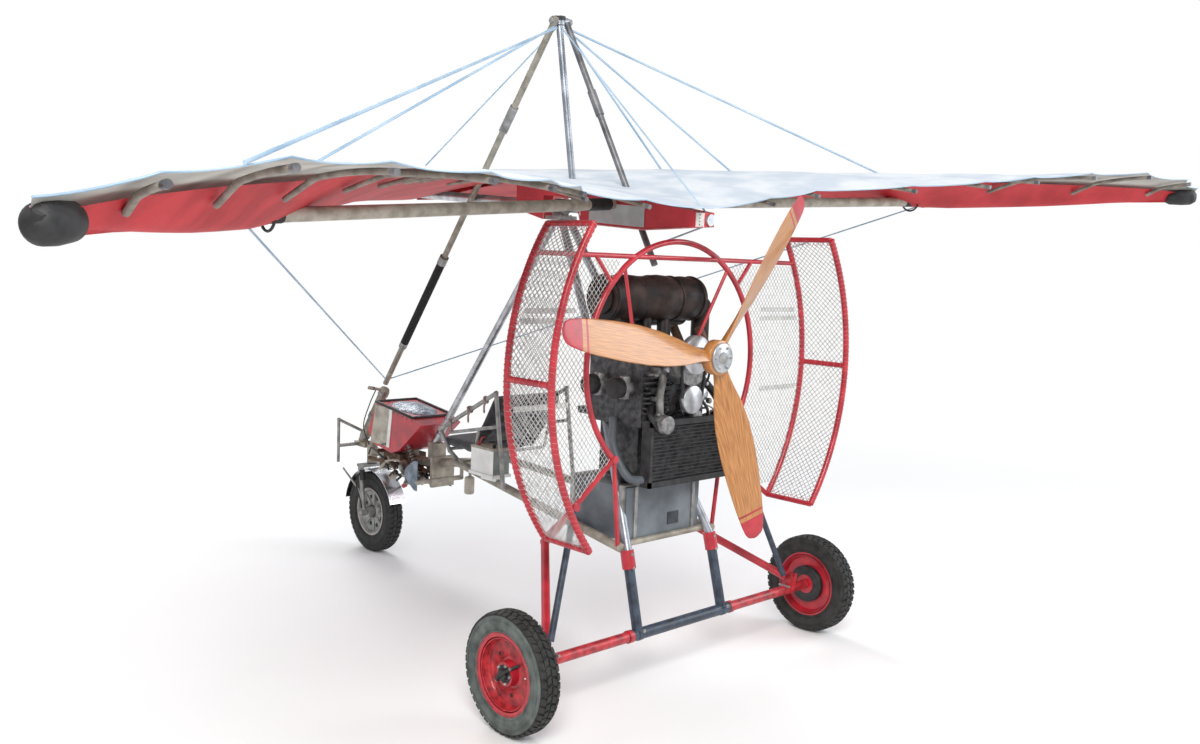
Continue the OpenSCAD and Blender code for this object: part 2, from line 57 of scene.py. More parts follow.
# ---------------------------------------------------------------- materials
def surface(name, dark, light, rough=0.5, metal=0.0, scale=12.0, bump=0.15, fine=220.0, coat=0.0,
            stretch=(1, 1, 1), rough_to=None, lo=0.35, hi=0.65, sheen=0.0, trans=0.0, depth=0.002):
    m = bpy.data.materials.new(name)
    m.use_nodes = True
    nt = m.node_tree
    b = nt.nodes["Principled BSDF"]
    b.inputs["Metallic"].default_value = metal
    b.inputs["Coat Weight"].default_value = coat
    b.inputs["Coat Roughness"].default_value = 0.12
    b.inputs["Sheen Weight"].default_value = sheen
    b.inputs["Transmission Weight"].default_value = trans
    tc = nt.nodes.new("ShaderNodeTexCoord")
    mp = nt.nodes.new("ShaderNodeMapping")
    mp.inputs["Scale"].default_value = stretch
    nt.links.new(tc.outputs["Object"], mp.inputs["Vector"])
    n1 = nt.nodes.new("ShaderNodeTexNoise")
    n1.inputs["Scale"].default_value = scale
    n1.inputs["Detail"].default_value = 6
    nt.links.new(mp.outputs["Vector"], n1.inputs["Vector"])
    ramp = nt.nodes.new("ShaderNodeValToRGB")
    ramp.color_ramp.elements[0].position = lo
    ramp.color_ramp.elements[1].position = hi
    ramp.color_ramp.elements[0].color = (*dark, 1)
    ramp.color_ramp.elements[1].color = (*light, 1)
    nt.links.new(n1.outputs["Fac"], ramp.inputs["Fac"])
    nt.links.new(ramp.outputs["Color"], b.inputs["Base Color"])
    n2 = nt.nodes.new("ShaderNodeTexNoise")
    n2.inputs["Scale"].default_value = fine
    n2.inputs["Detail"].default_value = 3
    nt.links.new(mp.outputs["Vector"], n2.inputs["Vector"])
    bp = nt.nodes.new("ShaderNodeBump")
    bp.inputs["Strength"].default_value = bump
    bp.inputs["Distance"].default_value = depth
    nt.links.new(n2.outputs["Fac"], bp.inputs["Height"])
    nt.links.new(bp.outputs["Normal"], b.inputs["Normal"])
    mr = nt.nodes.new("ShaderNodeMapRange")
    mr.inputs["To Min"].default_value = rough
    mr.inputs["To Max"].default_value = min(1, rough + 0.2) if rough_to is None else rough_to
    nt.links.new(n1.outputs["Fac"], mr.inputs["Value"])
    nt.links.new(mr.outputs["Result"], b.inputs["Roughness"])
    return m


def two_sided(name, top, under):
    """One cloth with two faces: top's surface outside, under's on the back."""
    m = bpy.data.materials.new(name)
    m.use_nodes = True
    nt = m.node_tree
    nt.nodes.clear()
    out = nt.nodes.new("ShaderNodeOutputMaterial")
    mix = nt.nodes.new("ShaderNodeMixShader")
    geo = nt.nodes.new("ShaderNodeNewGeometry")
    nt.links.new(geo.outputs["Backfacing"], mix.inputs["Fac"])
    nt.links.new(mix.outputs["Shader"], out.inputs["Surface"])
    tc = nt.nodes.new("ShaderNodeTexCoord")
    for i, (dark, light, rough, trans) in enumerate((top, under)):
        n1 = nt.nodes.new("ShaderNodeTexNoise")
        n1.inputs["Scale"].default_value = 5
        n1.inputs["Detail"].default_value = 8
        nt.links.new(tc.outputs["Object"], n1.inputs["Vector"])
        ramp = nt.nodes.new("ShaderNodeValToRGB")
        ramp.color_ramp.elements[0].position = 0.38
        ramp.color_ramp.elements[1].position = 0.6
        ramp.color_ramp.elements[0].color = (*dark, 1)
        ramp.color_ramp.elements[1].color = (*light, 1)
        nt.links.new(n1.outputs["Fac"], ramp.inputs["Fac"])
        n2 = nt.nodes.new("ShaderNodeTexNoise")
        n2.inputs["Scale"].default_value = 9
        n2.inputs["Detail"].default_value = 4
        nt.links.new(tc.outputs["Object"], n2.inputs["Vector"])
        bp = nt.nodes.new("ShaderNodeBump")
        bp.inputs["Strength"].default_value = 0.35
        bp.inputs["Distance"].default_value = 0.01
        nt.links.new(n2.outputs["Fac"], bp.inputs["Height"])
        p = nt.nodes.new("ShaderNodeBsdfPrincipled")
        p.inputs["Roughness"].default_value = rough
        nt.links.new(ramp.outputs["Color"], p.inputs["Base Color"])
        nt.links.new(bp.outputs["Normal"], p.inputs["Normal"])
        tl = nt.nodes.new("ShaderNodeBsdfTranslucent")
        nt.links.new(ramp.outputs["Color"], tl.inputs["Color"])
        ms = nt.nodes.new("ShaderNodeMixShader")
        ms.inputs["Fac"].default_value = trans
        nt.links.new(p.outputs["BSDF"], ms.inputs[1])
        nt.links.new(tl.outputs["BSDF"], ms.inputs[2])
        nt.links.new(ms.outputs["Shader"], mix.inputs[1 + i])
    return m


RED = surface("m_red_paint", (0.33, 0.008, 0.02), (0.52, 0.02, 0.035), 0.28, coat=0.4, bump=0.08)
RED_WORN = surface("m_red_worn", (0.22, 0.01, 0.015), (0.55, 0.03, 0.04), 0.35, coat=0.25, scale=30,
    bump=0.2)
NAVY = surface("m_navy_paint", (0.012, 0.02, 0.035), (0.045, 0.065, 0.10), 0.4, coat=0.15, scale=25)
ALLOY = surface("m_alloy", (0.36, 0.37, 0.39), (0.62, 0.64, 0.67), 0.28, 0.85, scale=18, stretch=(1, 1, 1))
DULL = surface("m_dull_alloy", (0.22, 0.22, 0.21), (0.42, 0.42, 0.41), 0.45, 0.7, scale=22)
TAN = surface("m_tan", (0.22, 0.20, 0.165), (0.42, 0.385, 0.32), 0.42, 0.35, scale=16)
STEELTUBE = surface("m_steel_tube", (0.20, 0.22, 0.25), (0.46, 0.49, 0.54), 0.3, 0.7, scale=12)
SLATE = surface("m_slate", (0.075, 0.09, 0.105), (0.17, 0.195, 0.215), 0.4, scale=6, bump=0.2)
LACING = surface("m_lacing", (0.42, 0.05, 0.06), (0.60, 0.20, 0.20), 0.4, 0.2, scale=30)
LINE_BLUE = surface("m_line_blue", (0.28, 0.42, 0.56), (0.50, 0.64, 0.76), 0.4, 0.2, scale=4)
DARKTUBE = surface("m_dark_tube", (0.10, 0.10, 0.11), (0.24, 0.24, 0.25), 0.35, 0.6, scale=14)
BLACK = surface("m_black", (0.008, 0.008, 0.009), (0.03, 0.03, 0.032), 0.5, scale=30)
FOAM = surface("m_foam", (0.006, 0.006, 0.006), (0.022, 0.022, 0.022), 0.8, scale=60, bump=0.6, fine=400)
RUBBER = surface("m_rubber", (0.009, 0.009, 0.009), (0.032, 0.032, 0.03), 0.62, scale=30, bump=0.35,
    fine=500)
SIDEWALL = surface("m_sidewall", (0.05, 0.062, 0.058), (0.13, 0.15, 0.14), 0.65, scale=18, bump=0.3,
    fine=350)
MESHW = surface("m_mesh", (0.42, 0.42, 0.42), (0.68, 0.68, 0.67), 0.35, 0.75, scale=40)
CHROME = surface("m_chrome", (0.5, 0.5, 0.52), (0.8, 0.81, 0.84), 0.12, 1.0, scale=10, bump=0.05,
    rough_to=0.3)
ENGINE = surface("m_engine", (0.03, 0.03, 0.032), (0.12, 0.12, 0.125), 0.45, 0.5, scale=35, bump=0.4)
CAST = surface("m_cast", (0.16, 0.16, 0.16), (0.38, 0.38, 0.38), 0.45, 0.8, scale=45, bump=0.5)
EXHAUST = surface("m_exhaust", (0.008, 0.006, 0.006), (0.045, 0.026, 0.021), 0.38, 0.3, scale=14,
    bump=0.5, lo=0.42, hi=0.66)
RUST = surface("m_rust", (0.05, 0.025, 0.015), (0.16, 0.09, 0.055), 0.6, 0.2, scale=40, bump=0.5)
PLATE = surface("m_plate", (0.018, 0.022, 0.028), (0.045, 0.05, 0.06), 0.25, 0.2, scale=20)
WHITE = surface("m_white", (0.72, 0.73, 0.71), (0.86, 0.87, 0.85), 0.45, scale=14)
GREYGREEN = surface("m_greygreen", (0.16, 0.19, 0.18), (0.27, 0.30, 0.28), 0.5, scale=14)
BEIGE = surface("m_beige", (0.30, 0.27, 0.22), (0.50, 0.46, 0.39), 0.5, 0.1, scale=20)
SEAT = surface("m_seat", (0.006, 0.006, 0.008), (0.028, 0.028, 0.034), 0.75, scale=24, bump=0.8, fine=600,
    sheen=0.3)
FILM = surface("m_film", (0.12, 0.15, 0.19), (0.42, 0.49, 0.57), 0.22, 0.2, scale=26, bump=1.0, fine=45,
    depth=0.006)
RAG = surface("m_rag", (0.26, 0.17, 0.16), (0.50, 0.38, 0.36), 0.8, scale=40, bump=0.8, fine=300)
BLUEGREY = surface("m_bluegrey", (0.10, 0.13, 0.17), (0.26, 0.31, 0.37), 0.35, 0.3, scale=20)
REDCLOTH = surface("m_red_cloth", (0.42, 0.012, 0.025), (0.60, 0.03, 0.045), 0.6, scale=4, bump=0.3,
    fine=60, sheen=0.2, depth=0.004)
PINK = surface("m_pink", (0.55, 0.16, 0.17), (0.70, 0.30, 0.30), 0.6, scale=20)
PATCH = surface("m_patch", (0.34, 0.34, 0.34), (0.46, 0.46, 0.46), 0.6, scale=12)
BATTEN = surface("m_batten", (0.17, 0.15, 0.125), (0.33, 0.30, 0.26), 0.5, 0.1, scale=20)
# white sail cloth: the pale blue tint of the top face is painted cool shade, and the grey-beige back face
# is painted shade on the white underside
SAIL = two_sided("m_sail", ((0.62, 0.69, 0.77), (0.80, 0.84, 0.88), 0.5, 0.12),
    ((0.34, 0.33, 0.30), (0.52, 0.50, 0.46), 0.6, 0.1))
REDSAIL = two_sided("m_red_sail", ((0.45, 0.012, 0.02), (0.62, 0.03, 0.04), 0.55, 0.12),
    ((0.42, 0.012, 0.02), (0.62, 0.028, 0.035), 0.55, 0.12))


def wood():
    m = surface("m_wood", (0.30, 0.105, 0.022), (0.60, 0.27, 0.075), 0.25, coat=0.6, scale=5, bump=0.05,
        lo=0.3, hi=0.7)
    nt = m.node_tree
    mp = [n for n in nt.nodes if n.type == "MAPPING"][0]
    uv = nt.nodes.new("ShaderNodeUVMap")
    uv.uv_map = "blade"
    nt.links.new(uv.outputs["UV"], mp.inputs["Vector"])
    mp.inputs["Scale"].default_value = (2.2, 60, 1)
    return m


WOOD = wood()


# ---------------------------------------------------------------- mesh building
CUBE = [(0, 1, 3, 2), (4, 6, 7, 5), (0, 4, 5, 1), (2, 3, 7, 6), (0, 2, 6, 4), (1, 5, 7, 3)]


def turn(n):
    """n even angles round a full turn."""
    return np.linspace(0, 2 * math.pi, n, endpoint=False)


class Build:
    def __init__(s):
        s.v, s.f, s.m, s.sm = [], [], [], []

    def add(s, v, f, m=0, smooth=True):
        k = len(s.v)
        s.v += [tuple(map(float, p)) for p in v]
        s.f += [tuple(k + i for i in q) for q in f]
        s.m += [m] * len(f)
        s.sm += [smooth] * len(f)

    def box(s, a, b, m=0, tf=None):
        v = [(x, y, z) for x in (a[0], b[0]) for y in (a[1], b[1]) for z in (a[2], b[2])]
        v = [tf(p) for p in v] if tf else v
        s.add(v, CUBE, m, False)

    def tube(s, pts, r, n=8, m=0, closed=False):
        pts = np.array(pts, float)
        k = len(pts)
        rr = np.full(k, r) if np.isscalar(r) else np.array(r, float)
        if closed:
            t = np.roll(pts, -1, 0) - np.roll(pts, 1, 0)
        else:
            t = np.gradient(pts, axis=0)
        t /= np.linalg.norm(t, axis=1)[:, None] + 1e-12
        up = np.array([0, 0, 1.0]) if abs(t[0][2]) < 0.9 else np.array([1.0, 0, 0])
        u = np.cross(t[0], up)
        rings = []
        for i in range(k):
            u = u - t[i] * np.dot(u, t[i])
            u /= np.linalg.norm(u) + 1e-12
            w = np.cross(t[i], u)
            rings += [pts[i] + rr[i] * (math.cos(2 * math.pi * j / n) * u
                                        + math.sin(2 * math.pi * j / n) * w) for j in range(n)]
        f = [(i * n + j, i * n + (j + 1) % n, ((i + 1) % k) * n + (j + 1) % n, ((i + 1) % k) * n + j)
             for i in range(k if closed else k - 1) for j in range(n)]
        s.add(rings, f, m)
        if not closed:
            s.add(rings[:n], [tuple(range(n))[::-1]], m, False)
            s.add(rings[-n:], [tuple(range(n))], m, False)

    def lathe(s, prof, place, n=48, m=0, a0=0.0, a1=2 * math.pi):
        """prof: (radius, height) pairs; place maps (x, y, z) with the axis along z."""
        full = abs(a1 - a0) > 6.28
        k = n if full else n + 1
        v = [place((r * math.cos(a0 + (a1 - a0) * i / n), r * math.sin(a0 + (a1 - a0) * i / n), h))
            for i in range(k) for r, h in prof]
        p = len(prof)
        s.add(v, [(i * p + j, ((i + 1) % k) * p + j, ((i + 1) % k) * p + j + 1, i * p + j + 1)
                  for i in range(n) for j in range(p - 1)], m)

    def grid(s, g, m=0, flip=False):
        g = np.array(g, float)
        a, b = g.shape[:2]
        f = [(i * b + j, i * b + j + 1, (i + 1) * b + j + 1, (i + 1) * b + j) for i in range(a - 1)
            for j in range(b - 1)]
        s.add(g.reshape(-1, 3), [q[::-1] for q in f] if flip else f, m)

    def make(s, name, body, mats, slot=None):
        me = bpy.data.meshes.new(name)
        me.from_pydata(s.v, [], s.f)
        for i, p in enumerate(me.polygons):
            p.material_index = s.m[i]
            p.use_smooth = s.sm[i]
        for q in mats:
            me.materials.append(q)
        me.update()
        o = bpy.data.objects.new(name, me)
        bpy.context.scene.collection.objects.link(o)
        if body:
            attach(o, body)
        return o


def axis_place(c, d):
    """Places z along d at c."""
    d = np.array(d, float) / np.linalg.norm(d)
    a = np.array([0, 0, 1.0]) if abs(d[2]) < 0.9 else np.array([0, 1.0, 0])
    u = np.cross(a, d)
    u /= np.linalg.norm(u)
    w = np.cross(d, u)
    return lambda p: np.array(c, float) + p[0] * u + p[1] * w + p[2] * d


def can(b, c, d, r, h, m=0, n=24, edge=0.003):
    """A closed round can with softened rims, from c along d."""
    b.lathe([(0, 0), (r - edge, 0), (r, edge), (r, h - edge), (r - edge, h), (0, h)], axis_place(c, d), n,
        m)


def line(a, b, n=2):
    a, b = np.array(a, float), np.array(b, float)
    return [a + (b - a) * t for t in np.linspace(0, 1, n)]


def curve(pts, n=24):
    """A smooth line through the points."""
    p = np.array(pts, float)
    p = np.vstack([2 * p[0] - p[1], p, 2 * p[-1] - p[-2]])
    out = []
    for i in range(1, len(p) - 2):
        for t in np.linspace(0, 1, n, endpoint=False):
            out.append(0.5 * (2 * p[i] + (p[i + 1] - p[i - 1]) * t
                              + (2 * p[i - 1] - 5 * p[i] + 4 * p[i + 1] - p[i + 2]) * t ** 2
                              + (3 * p[i] - p[i - 1] - 3 * p[i + 1] + p[i + 2]) * t ** 3))
    return out + [p[-2]]


# ---------------------------------------------------------------- CAD finishes
NODE_MATS = {
    "axle_beam": NAVY, "axle_ends": RED_WORN, "lower_legs": NAVY, "leg_collars": RED,
        "pylon_tubes": STEELTUBE,
    "hang_bracket": DULL, "front_strut": ALLOY, "drag_struts": RED, "side_struts": NAVY, "lower_rails": TAN,
    "nose_beam": TAN, "steering_head": TAN, "nose_post": TAN, "foot_frame": DULL, "pod": RED,
        "pod_cover": FILM,
    "seat": SEAT, "seat_frame": DULL, "battery": WHITE, "tank": SLATE, "tank_cradle": DULL,
        "engine": ENGINE,
    "gearbox": CAST, "radiator": BLACK, "silencer": EXHAUST, "hoop": RED, "left_guard": RED,
        "right_guard": RED,
    "nose_fork": DULL, "nose_mudguard": CHROME, "nose_rim": DULL, "left_rim": RED, "right_rim": RED,
    "keel": ALLOY, "crossbars": BEIGE, "kingpost": STEELTUBE, "control_column": TAN, "rear_post": DARKTUBE,
    "keel_pocket": REDCLOTH}
for name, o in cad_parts.items():
    if name in NODE_MATS:
        o.data.materials.clear()
        o.data.materials.append(NODE_MATS[name])

# ---------------------------------------------------------------- wheels
TYRE_R, TYRE_W, RIM_R, TRACK, BASE = 0.24, 0.103, 0.158, 0.9665, 2.514  # TRACK is half the track
NOSE_R = 0.244


def tyre(name, node, body, c, out, R, w, bead, wall, blocks, slot):
    b = Build()
    place = axis_place(c, out)
    d = 0.006
    crown = R - d
    prof = [(bead, -w * 0.40), (bead + 0.006, -w * 0.45), (bead + 0.018, -w * 0.47),
        (bead + (R - bead) * 0.45, -w * 0.5),
            (R - 0.03, -w * 0.485), (R - 0.016, -w * 0.44), (crown - 0.003, -w * 0.36), (crown, -w * 0.2),
                (crown, 0)]
    prof += [(r, -h) for r, h in prof[-2::-1]]
    b.lathe(prof[:6], place, 96, 1)
    b.lathe(prof[5:-5], place, 96, 0)
    b.lathe(prof[-6:], place, 96, 1)
    for r in (bead + 0.012, bead + (R - bead) * 0.62):
        for s in (-1, 1):
            h = s * w * (0.47 if r < bead + 0.02 else 0.497)
            b.tube([place((r * math.cos(a), r * math.sin(a), h))
                for a in turn(72)], 0.0016, 5, 1, True)
    for i in range(blocks):
        for j, (h0, h1, sh, r0) in enumerate(((-0.43, -0.25, 0.0, -0.007), (-0.22, -0.03, 0.5, 0),
            (0.03, 0.22, 0.0, 0), (0.25, 0.43, 0.5, -0.007))):
            a0 = 2 * math.pi * (i + sh) / blocks
            a1 = a0 + 2 * math.pi / blocks * 0.72
            v = []
            for a in (a0, a1):
                for h in (h0, h1):
                    drop = r0 if (abs(h) > 0.4) else 0
                    for r in (crown - 0.006 + drop, R + drop - 0.0004):
                        aa = a + (0.03 if h in (h1,) else 0) * (1 if j % 2 else -1)
                        v.append(place((r * math.cos(aa), r * math.sin(aa), h * w)))
            b.add(v, CUBE, 0, False)
    o = b.make(name, body, [RUBBER, wall], slot)
    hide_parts(node)
    return o


tyre("left_tyre_tread", "left_tyre", "left_wheel", F(-TRACK, 0, TYRE_R), (-1, 0, 0), TYRE_R, TYRE_W, RIM_R,
    SIDEWALL, 44, "tyre_rubber")
tyre("right_tyre_tread", "right_tyre", "right_wheel", F(TRACK, 0, TYRE_R), (1, 0, 0), TYRE_R, TYRE_W, RIM_R,
    RUBBER, 44, "tyre_rubber")
tyre("nose_tyre_tread", "nose_tyre", "nose_wheel", F(0, BASE, NOSE_R), (1, 0, 0), NOSE_R, 0.098, 0.144,
    RUBBER, 46, "tyre_rubber")


def rear_wheel(side, body):
    c, out = F(side * TRACK, 0, TYRE_R), np.array([side, 0, 0], float)
    p = axis_place(c, out)
    b = Build()
    w = TYRE_W * 0.4
    # rim lip, stepped dish, bead ring
    b.lathe([(0.150, w - 0.004), (0.158, w + 0.004), (0.1615, w + 0.002), (0.1615, w - 0.006),
        (0.156, w - 0.012)], p, 72, 0)
    b.lathe([(0.140, w - 0.002), (0.134, 0.012), (0.128, 0.0), (0.116, -0.006), (0.072, -0.006),
        (0.064, 0.0), (0.058, 0.004), (0.046, 0.004)], p, 72, 0)
    for r in (0.138, 0.128):
        b.tube([p((r * math.cos(a), r * math.sin(a), w - 0.006 if r > 0.13 else 0.002))
            for a in turn(60)], 0.003, 6, 0, True)
    # holes in the disc as thin black discs, painted shade of the wheel's inside; bolts on the hub
    for i in range(3):
        a = 2 * math.pi * i / 3 + 0.5
        q = p((0.094 * math.cos(a), 0.094 * math.sin(a), -0.0057))
        can(b, q - out * 0.001, out, 0.008, 0.0016, 1, 14, 0.0005)
    for i in range(5):
        a = 2 * math.pi * i / 5
        can(b, p((0.036 * math.cos(a), 0.036 * math.sin(a), 0.03)), out, 0.0065, 0.013, 2, 6, 0.001)
    can(b, p((0, 0, 0.03)), out, 0.038, 0.006, 1, 32)
    can(b, p((0, 0, 0.034)), out, 0.022, 0.02, 1, 24)
    # bent strap over the hub, with its bolts
    for k in range(2):
        a = 0.7 + math.pi * k
        u = np.array([math.cos(a), math.sin(a)])
        pts = [p((*(u * r), h)) for r, h in ((0.002, 0.060), (0.024, 0.058), (0.040, 0.044),
            (0.058, 0.020), (0.066, 0.004))]
        b.tube(pts, [0.007, 0.0075, 0.0075, 0.007, 0.006], 6, 1)
        can(b, p((*(u * 0.05), 0.03)), out, 0.006, 0.014, 2, 6, 0.001)
    # valve stem
    b.tube([p((0.118, 0.02, 0.0)), p((0.121, 0.02, 0.022)), p((0.123, 0.021, 0.036))],
        [0.0035, 0.003, 0.0028], 8, 3)
    # brake drum and back plate on the inner side
    b.lathe([(0, -0.043), (0.086, -0.043), (0.09, -0.040), (0.09, -0.012), (0.084, -0.008),
        (0.05, -0.008)], p, 48, 1)
    b.lathe([(0.128, -0.006), (0.138, -0.02), (0.146, -w), (0.150, -w)], p, 60, 0)
    b.make("rear_wheel_" + ("right" if side > 0 else "left"), body,
        [RED_WORN if side < 0 else RED, BLACK, DULL, WHITE], "red_gloss")


rear_wheel(-1, "left_wheel")
rear_wheel(1, "right_wheel")

b = Build()
p = axis_place(F(0, BASE, NOSE_R), (-1, 0, 0))
b.lathe([(0.126, 0.030), (0.140, 0.040), (0.1465, 0.038), (0.1465, 0.032)], p, 64, 1)
b.lathe([(0.128, 0.026), (0.118, 0.012), (0.10, 0.009), (0.05, 0.011), (0.04, 0.02)], p, 64, 0)
for i in range(8):
    a = 2 * math.pi * i / 8
    b.box((0.052, -0.012, 0.004), (0.118, 0.012, 0.015), 0, lambda q,
        a=a: p((q[0] * math.cos(a) - q[1] * math.sin(a), q[0] * math.sin(a) + q[1] * math.cos(a), q[2])))
    can(b, p((0.088 * math.cos(a + 0.39), 0.088 * math.sin(a + 0.39), 0.0095)), (-1, 0, 0), 0.013, 0.0012,
        2, 16, 0.0004)
b.make("nose_wheel_disc", "nose_wheel", [DULL,
    surface("m_rim_ring", (0.42, 0.30, 0.28), (0.62, 0.50, 0.47), 0.4, 0.3, scale=14), BLACK],
        "bright_alloy")

# ---------------------------------------------------------------- propeller
HUB = F(0, -0.13, 1.425)
PR = 0.894
BAND0, BAND1, TIP0 = 0.85, 0.862, 0.885  # a thin red band, then the red tip, in shares of PR
ROWS = [(0.04, 0.060, 0.036, -50), (0.10, 0.066, 0.034, -46), (0.16, 0.088, 0.030, -42),
    (0.25, 0.128, 0.025, -36),
        (0.36, 0.158, 0.021, -31), (0.5, 0.171, 0.017, -26), (0.65, 0.165, 0.014, -22),
            (0.8, 0.146, 0.011, -18),
        (0.9, 0.124, 0.009, -16), (0.955, 0.104, 0.008, -15), (0.98, 0.082, 0.007, -14),
            (0.992, 0.055, 0.006, -14), (0.998, 0.02, 0.004, -14)]


def blade_ring(t, n=20):
    r = [x[0] for x in ROWS]
    ch, th, pi = (np.interp(t, r, [x[k] for x in ROWS]) for k in (1, 2, 3))
    pi = math.radians(pi)
    out = []
    for j in range(n):
        a = 2 * math.pi * j / n
        x = 0.5 * math.cos(a)
        y = 0.5 * math.sin(a) * (1 - 0.35 * math.cos(a)) * (1.15 if math.sin(a) > 0 else 0.6)
        cx, cy = x * ch, y * th
        out.append((t * PR, cx * math.cos(pi) - cy * math.sin(pi), cx * math.sin(pi) + cy * math.cos(pi)))
    return out


ts = sorted(set(np.concatenate([np.linspace(0.04, 0.84, 20), np.linspace(0.9, 0.998, 12),
    [BAND0, BAND1, 0.872, TIP0]]).round(5)))
b = Build()
uvs = []
for ang in (51.9, 171.9, 291.9):
    a = math.radians(ang)
    rings = []
    for t in ts:
        for q in blade_ring(t):
            # q[0] runs out along the blade, q[1] across it in the disc, q[2] along the shaft
            rings.append(HUB + np.array([
                q[0] * math.cos(a) - q[1] * math.sin(a), q[2], q[0] * math.sin(a) + q[1] * math.cos(a)]))
            uvs.append((q[0], q[1] + q[2] * 0.5 + 0.07 * math.sin(ang)))
    n = 20
    for i in range(len(ts) - 1):
        mid = (ts[i] + ts[i + 1]) / 2
        m = 1 if mid > TIP0 else 0 if mid > BAND1 else 1 if mid > BAND0 else 0
        f = [(i * n + j, i * n + (j + 1) % n, (i + 1) * n + (j + 1) % n, (i + 1) * n + j) for j in range(n)]
        base = len(b.v) if i == 0 else base
        if i == 0:
            b.v += [tuple(x) for x in rings]
        b.f += [tuple(base + x for x in q) for q in f]
        b.m += [m] * n
        b.sm += [True] * n
    b.f += [tuple(base + (len(ts) - 1) * n + j for j in range(n))]
    b.m += [1]
    b.sm += [True]
blades = b.make("propeller_blades", "propeller_body", [WOOD, RED, WHITE], "prop_wood")
lay = blades.data.uv_layers.new(name="blade")
for lp in blades.data.loops:
    lay.data[lp.index].uv = uvs[lp.vertex_index]
h = Build()
can(h, HUB + np.array([0, 0.026, 0]), (0, -1, 0), 0.075, 0.048, 0, 48)
can(h, HUB + np.array([0, -0.022, 0]), (0, -1, 0), 0.064, 0.012, 1, 48)
can(h, HUB + np.array([0, -0.0325, 0]), (0, -1, 0), 0.026, 0.006, 2, 32)
for i in range(6):
    a = math.pi * i / 3
    c = HUB + np.array([0.048 * math.cos(a), -0.033, 0.048 * math.sin(a)])
    can(h, c, (0, -1, 0), 0.0085, 0.0015, 1, 20, 0.0005)
    can(h, c, (0, -1, 0), 0.0062, 0.006, 2, 6, 0.0008)
hub = h.make("propeller_hub", "propeller_body", [WOOD, ALLOY, DULL], "bright_alloy")
hub.data.uv_layers.new(name="blade")
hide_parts("propeller")

# ---------------------------------------------------------------- guards
GC, GR = (-0.136, 1.354), 1.076
A0, A1 = math.radians(-37.3), math.radians(33.6)
YF, YR = 0.112, -0.146


def guard_pt(side, a, y, dr=0.0):
    return F(side * (GC[0] + (GR + dr) * math.cos(a)), y, GC[1] + (GR + dr) * math.sin(a))


for side, nm in ((-1, "left"), (1, "right")):
    b = Build()
    L = GR * (A1 - A0)
    wy = YF - YR - 0.024
    pitch = 0.027
    slope = 1.0
    for fam in (1, -1):
        k = int((L + wy * slope) / pitch) + 2
        for i in range(-int(wy * slope / pitch) - 1, k):
            s0 = i * pitch
            pts = []
            for t in np.linspace(0, wy, 13):
                s = s0 + fam * t * slope
                if 0 <= s <= L:
                    pts.append(guard_pt(side, A0 + s / GR, YR + 0.012 + t, 0.0012 * fam))
            if len(pts) > 1:
                b.tube(pts, 0.0018, 4)
    o = b.make(nm + "_guard_wires", "carriage", [MESHW], "mesh_alloy")
    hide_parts(nm + "_guard_mesh")
    # lacing wire wound round both arcs, ties at the ribs
    b = Build()
    for y in (YF, YR):
        turns = 62
        pts = []
        for t in np.linspace(0, 1, turns * 9):
            a = A0 + (A1 - A0) * t
            w = 2 * math.pi * turns * t
            c = guard_pt(side, a, y, 0)
            rad = c - F(side * GC[0], y, GC[1])
            rad /= np.linalg.norm(rad)
            pts.append(c + 0.0152 * (math.cos(w) * rad + math.sin(w) * np.array([0, 1.0, 0])))
        b.tube(pts, 0.0012, 4)
    for a in (A0 + 0.012, 0.0, A1 - 0.012):
        for y in np.linspace(YR + 0.02, YF - 0.02, 7):
            c = guard_pt(side, a, y)
            b.tube([c + 0.0138 * (math.cos(q) * np.array([1.0, 0, 0]) + math.sin(q) * np.array([0, 0,
                1.0])) for q in turn(12)],
                   0.0013, 4, 0, True)
    b.make(nm + "_guard_lacing", "carriage", [LACING], "mesh_alloy")


def in_bay(x, z):
    """Between the guard's front arc and the hoop."""
    return (math.hypot(x - GC[0], z - GC[1]) < GR - 0.012 and math.hypot(x, z - 1.378) > 0.542 and z < 1.824
            and z > 0.76 and (x - 0.566) * 0.106 + (z - 0.808) * 0.154 > 0 and x > 0.36)


b = Build()
s = Build()
for side in (-1, 1):
    for fam in (1, -1):
        for i in range(-60, 120):
            run = []
            for t in np.arange(0, 1.3, 0.008):
                z = 0.74 + t
                x = i * 0.024 + fam * t * 0.8
                if in_bay(x, z):
                    run.append(F(side * x, YF - 0.001 + 0.0012 * fam, z))
                else:
                    if len(run) > 2:
                        b.tube([run[0], run[-1]], 0.0016, 4)
                    run = []
            if len(run) > 2:
                b.tube([run[0], run[-1]], 0.0016, 4)
    for z0, x0, x1 in ((1.60, 0.60, 0.86), (1.56, 0.60, 0.88), (1.22, 0.62, 0.90)):
        s.box(F(side * x0, YF + 0.003, z0), F(side * x1, YF + 0.006, z0 + 0.022), 0)
w = b.make("inner_bay_wires", "carriage", [MESHW], "mesh_alloy")
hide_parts("inner_mesh")
s.make("bay_strips", "carriage", [WHITE], "mesh_alloy")

# ---------------------------------------------------------------- sails
RIBS = [(0.0, -0.960, 0.000, 0.040, 0.130), (0.742, -0.960, 0.020, 0.110, 0.120),
    (0.960, -1.215, 0.026, 0.138, 0.110),
        (1.300, -1.465, 0.032, 0.170, 0.095), (1.658, -1.578, 0.036, 0.200, 0.080),
            (2.048, -1.690, 0.040, 0.226, 0.062),
        (2.386, -1.830, 0.070, 0.236, 0.040), (2.696, -1.920, 0.105, 0.205, 0.020),
            (2.920, -1.906, 0.122, 0.160, 0.006)]
RX = [r[0] for r in RIBS]


def lead_y(x):
    return 1.50 - 1.16 * x


def hump(t):
    return 1 - ((0.3 - t) / 0.3) ** 2 if t < 0.3 else 1 - ((t - 0.3) / 0.7) ** 2


